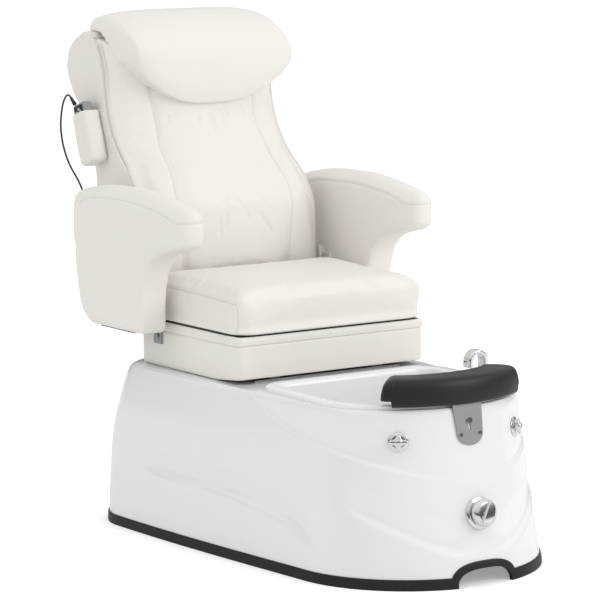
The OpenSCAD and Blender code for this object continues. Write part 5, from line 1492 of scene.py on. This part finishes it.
# Armrests
arm = {
    "length": 0.52, "y": 0.5, "z": 0.63, "inner": 0.300, "wide": 0.077, "bulge": 0.036, "crown": 0.033,
    "edge": 0.12, "round": 0.013, "power": 2.4, "core": (-0.25, 0.2), "cheek": 0.0035, "bodyPoints": 110,
    "padPoints": 64, "voxel": 0.0058, "pressure": 3.5, "cap": 0.003, "hold": 0.006,
    "seamDip": (0.0024, 0.0046, 1), "welt": 0.0010,
    "body": [
        (-0.725, 0.3, -0.65, 1, 0), (-0.723, 0.227, -0.65, 1, 0), (-0.712, 0.196, -0.6, 0.8, 0.6),
        (-0.681, 0.177, -0.45, 0.3, 1), (-0.604, 0.152, -0.3, 0.2, 1), (-0.535, 0.127, -0.2, 0.4, 1),
        (-0.481, 0.09, -0.15, 0.7, 0.7), (-0.442, 0.042, -0.1, 0.9, 0.4), (-0.419, -0.019, -0.05, 1, 0.1),
        (-0.408, -0.081, 0, 1, 0), (-0.404, -0.154, 0, 1, 0), (-0.402, -0.242, 0, 1, 0.4),
        (-0.387, -0.2585, 0, 0.4, 1), (-0.16, -0.2585, 0, 0, 0.6), (0.03, -0.257, 0.2, 0, 0.6),
        (0.09, -0.232, 0.6, -0.5, 0.8), (0.13, -0.185, 0.9, -0.8, 0.5), (0.152, -0.105, 1, -1, 0),
        (0.175, 0.04, 1, -1, 0), (0.187, 0.18, 1, -1, 0), (0.187, 0.319, 1, -1, 0),
    ],
    "seam": [(0.145, 0.319), (0.096, 0.338), (-0.067, 0.358), (-0.267, 0.362), (-0.48, 0.346), (-0.635, 0.319),
             (-0.69, 0.3)],
    "sides": [0, 0.2, 0.4, 0.55, 0.68, 0.76, 0.83, 0.89, 0.935, 0.965, 0.985, 1],
    "caps": [(0.985, 0.2), (0.93, 0.5), (0.82, 0.75), (0.62, 0.92), (0.4, 0.98), (0.2, 1), (0.06, 1)],
}


def armSpot(y, z):
    # from shares of the arm's length, counted from its pin
    return arm["y"] + arm["length"] * y, arm["z"] + arm["length"] * z


def armPoint(k, u):
    # a point of the body's outline at u across the arm, from -1 at its inner side to 1
    *spot, bulge, sideY, sideZ = arm["body"][k]
    y, z = armSpot(*spot)
    e = arm["round"] * roundEdge(abs(u), 1 - 2 * arm["round"] / arm["wide"])
    return y + arm["bulge"] * bulge * (1 - abs(u) ** arm["power"]) + e * sideY, z + e * sideZ


armSeam = [armSpot(*spot) for spot in arm["seam"]]


def coverRing(u):
    # round the body from the front of the seam to its rear, then back over the pad
    low = resampled([armPoint(k, u) for k in range(len(arm["body"]))], arm["bodyPoints"])
    h = arm["crown"] * (arm["edge"] + (1 - arm["edge"]) * (1 - abs(u) ** arm["power"]) ** 0.8)
    front, rear = low[0], low[-1]
    high = [rear, (rear[0] - 0.001, rear[1] + h / 3), (rear[0] - 0.014, rear[1] + h * 0.75)]
    high += [(y, z + h) for y, z in armSeam[1:-1]]
    high += [(front[0] + 0.010, front[1] + h * 0.85), (front[0] - 0.001, front[1] + h / 3), front]
    return low + resampled(high, arm["padPoints"])[1:-1]


def cheekRings(ring, outward):
    # the flat side of the arm, drawn in from this ring to the arm's core
    core = armSpot(*arm["core"])
    return [
        [(x + outward * out, blendOf(core[0], y, scale), blendOf(core[1], z, scale)) for x, y, z in ring]
        for scale, out in arm["caps"]
    ]


def mirrored(pieces):
    # the left pieces, from the right ones
    copies = []
    for piece in pieces:
        chosen(piece)
        bpy.ops.object.duplicate()
        copy = named(piece.name.replace("Right", "Left"))
        copy.data.transform(Matrix.Scale(-1, 4, (1, 0, 0)))
        editing(copy)
        doneEditing()
        copies.append(copy)
    return copies


def sideSeam(x):
    line = resampled([armPoint(-1, 1), *armSeam, armPoint(0, 1)], 120)
    return [Vector((x, y, z)) for y, z in line]


def endSeam(k):
    line = []
    for i in range(41):
        u = math.sin(math.pi / 2 * (i / 20 - 1))
        line.append(Vector((armX(u), *armPoint(k, u))))
    return line


def armX(u):
    return arm["inner"] + arm["wide"] * (u + 1) / 2


rings = [[(armX(u), y, z) for y, z in coverRing(u)] for u in [-s for s in arm["sides"][:0:-1]] + arm["sides"]]
rings = cheekRings(rings[0], -arm["cheek"] * 0.2)[::-1] + rings + cheekRings(rings[-1], arm["cheek"])
armCover = loftPiece("armCoverRight", rings, fill=True)
puffed(armCover, arm, lambda p: 1.0 - ease((arm["inner"] + arm["hold"] - p.x) / arm["hold"]))
loop = sideSeam(armX(1)) + endSeam(0)[::-1] + sideSeam(arm["inner"])[::-1] + endSeam(-1)
loop = laidOn(armCover, sampled(loop, 0.004), 0, 0.002)
seamed(armCover, [(loop, *arm["seamDip"])])
armWelt = welt("armWeltRight", laidOn(armCover, loop[::3], 0.0003, 0.003), arm["welt"])
covers = [armCover, armWelt]
for side, (piece, line) in (("right", covers), ("left", mirrored(covers))):
    finished(piece, "armrest_" + side, "leather_ivory", "ivory", "arm_body_" + side, "arm_pad_" + side, angle=60)
    finished(line, "armrest_" + side, "leather_ivory", "seamShade", angle=60)

# Hinge upright and black underside of each armrest
bracket = {
    "plate": ((0.304, 0.345, 0.4955), (0.362, 0.500, 0.4995)), "hub": (0.286, 0.300), "radius": 0.018,
    "upright": ((0.294, 0.452, 0.4955), (0.300, 0.512, 0.63)),
}
eye = rodPiece("armEye", *((x, arm["y"], arm["z"]) for x in bracket["hub"]), bracket["radius"])
holders = [
    boxPiece("armPlateRight", *bracket["plate"]),
    joined("armUprightRight", [boxPiece("armPost", *bracket["upright"]), eye]),
]
for side, (plate, upright) in (("right", holders), ("left", mirrored(holders))):
    finished(plate, "armrest_" + side, "plastic_black", "black", "arm_bracket_" + side, angle=40)
    finished(upright, "armrest_" + side, "leather_ivory", "ivoryShell", angle=40)
print("armrests made")

# Finishes of the parts that keep their own solid
nodeLooks = {
    "chrome": ["drain_fitting", "water_inlets", "footrest_screw", "bracket_rivets", "drain_plug", "tap_valves",
               "slide_rod", "hinge_pins", "arm_pins", "recline_rod", "massage_rails"],
    "zinc": ["underframe", "seat_frame", "back_frame", "slide_rails", "runner_rails"],
    "steel": ["footrest_bracket", "seat_platform", "arm_stops"],
    "pipe": ["drain_pipe", "water_pipes", "slide_actuator", "recline_actuator", "power_supply", "massage_carriage"],
    "black": ["drain_cable", "levelling_feet", "power_inlet", "cable_gland", "massage_rollers"],
    "board": ["seat_board"],
    "ivoryShell": ["arm_plates"],
}
for look, nodes in nodeLooks.items():
    for name in nodes:
        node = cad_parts[name]
        if not node.material_slots:
            node.data.materials.append(finish[look])
        for item in node.material_slots:
            item.material = finish[look]
print("nodes dressed")

# Floor, world and lamp
bpy.context.scene.view_settings.view_transform = "Standard"
studio = {
    "ambient": 0.97, "floorGlow": 0.3, "floorColour": (0.9, 0.9, 0.9), "floorSize": 60,
    "room": [(0.45, 1), (0.505, 0.10), (0.58, 0.16), (0.66, 0.7), (0.9, 1)],
}
bpy.ops.mesh.primitive_plane_add(size=studio["floorSize"])
ground = bpy.context.object
ground.name = "studioFloor"
board = Board("studioFloor")
board.surface(colour=studio["floorColour"], rough=0.9, specular=0.0)
plain = Wire(board, board.shader.outputs[0])
glow = board.add("Emission", values={"Color": white, "Strength": studio["floorGlow"]})
lit = board.add("AddShader", values={0: plain, 1: glow})
seen = board.add("MixShader", values={0: board.add("LightPath"), 1: plain, 2: lit})
board.feed(board.tree.nodes["Material Output"].inputs["Surface"], seen)
ground.data.materials.append(board.holder)

# World: white behind the chair, soft light on it, and for metal a room with pale floor and ceiling and darker walls
sky = Board("studioWorld", "worlds")
bpy.context.scene.world = sky.holder
cameraRay, glassRay, glossyRay = [
    sky.add("LightPath", output=name) for name in ("Is Camera Ray", "Is Transmission Ray", "Is Glossy Ray")
]
height = sky.add("SeparateXYZ", values={0: sky.add("TexCoord", output="Generated")}, output="Z")
room = sky.add("ValToRGB", {"stops": studio["room"]}, {0: sky.add("MapRange", values={0: height, 1: -1})})
soft = sky.add("Background", values={"Color": white, "Strength": studio["ambient"]})
mirror = sky.add("Background", values={"Color": room})
bright = sky.add("Background", values={"Color": white})
lighting = sky.add("MixShader", values={0: glossyRay, 1: soft, 2: mirror})
seen = sky.add("Math", {"operation": "MAXIMUM"}, {0: cameraRay, 1: glassRay})
behind = sky.add("MixShader", values={0: seen, 1: lighting, 2: bright})
sky.feed(sky.tree.nodes["World Output"].inputs["Surface"], behind)

lamp = {"place": (2.6, -3.8, 2.6), "aim": (0, 0, 0.5), "size": 2.0, "power": 50}
light = aimed("keyLamp", bpy.data.lights.new("keyLamp", "AREA"), lamp)
light.data.size = lamp["size"]
light.data.energy = lamp["power"]
print("studio lit")
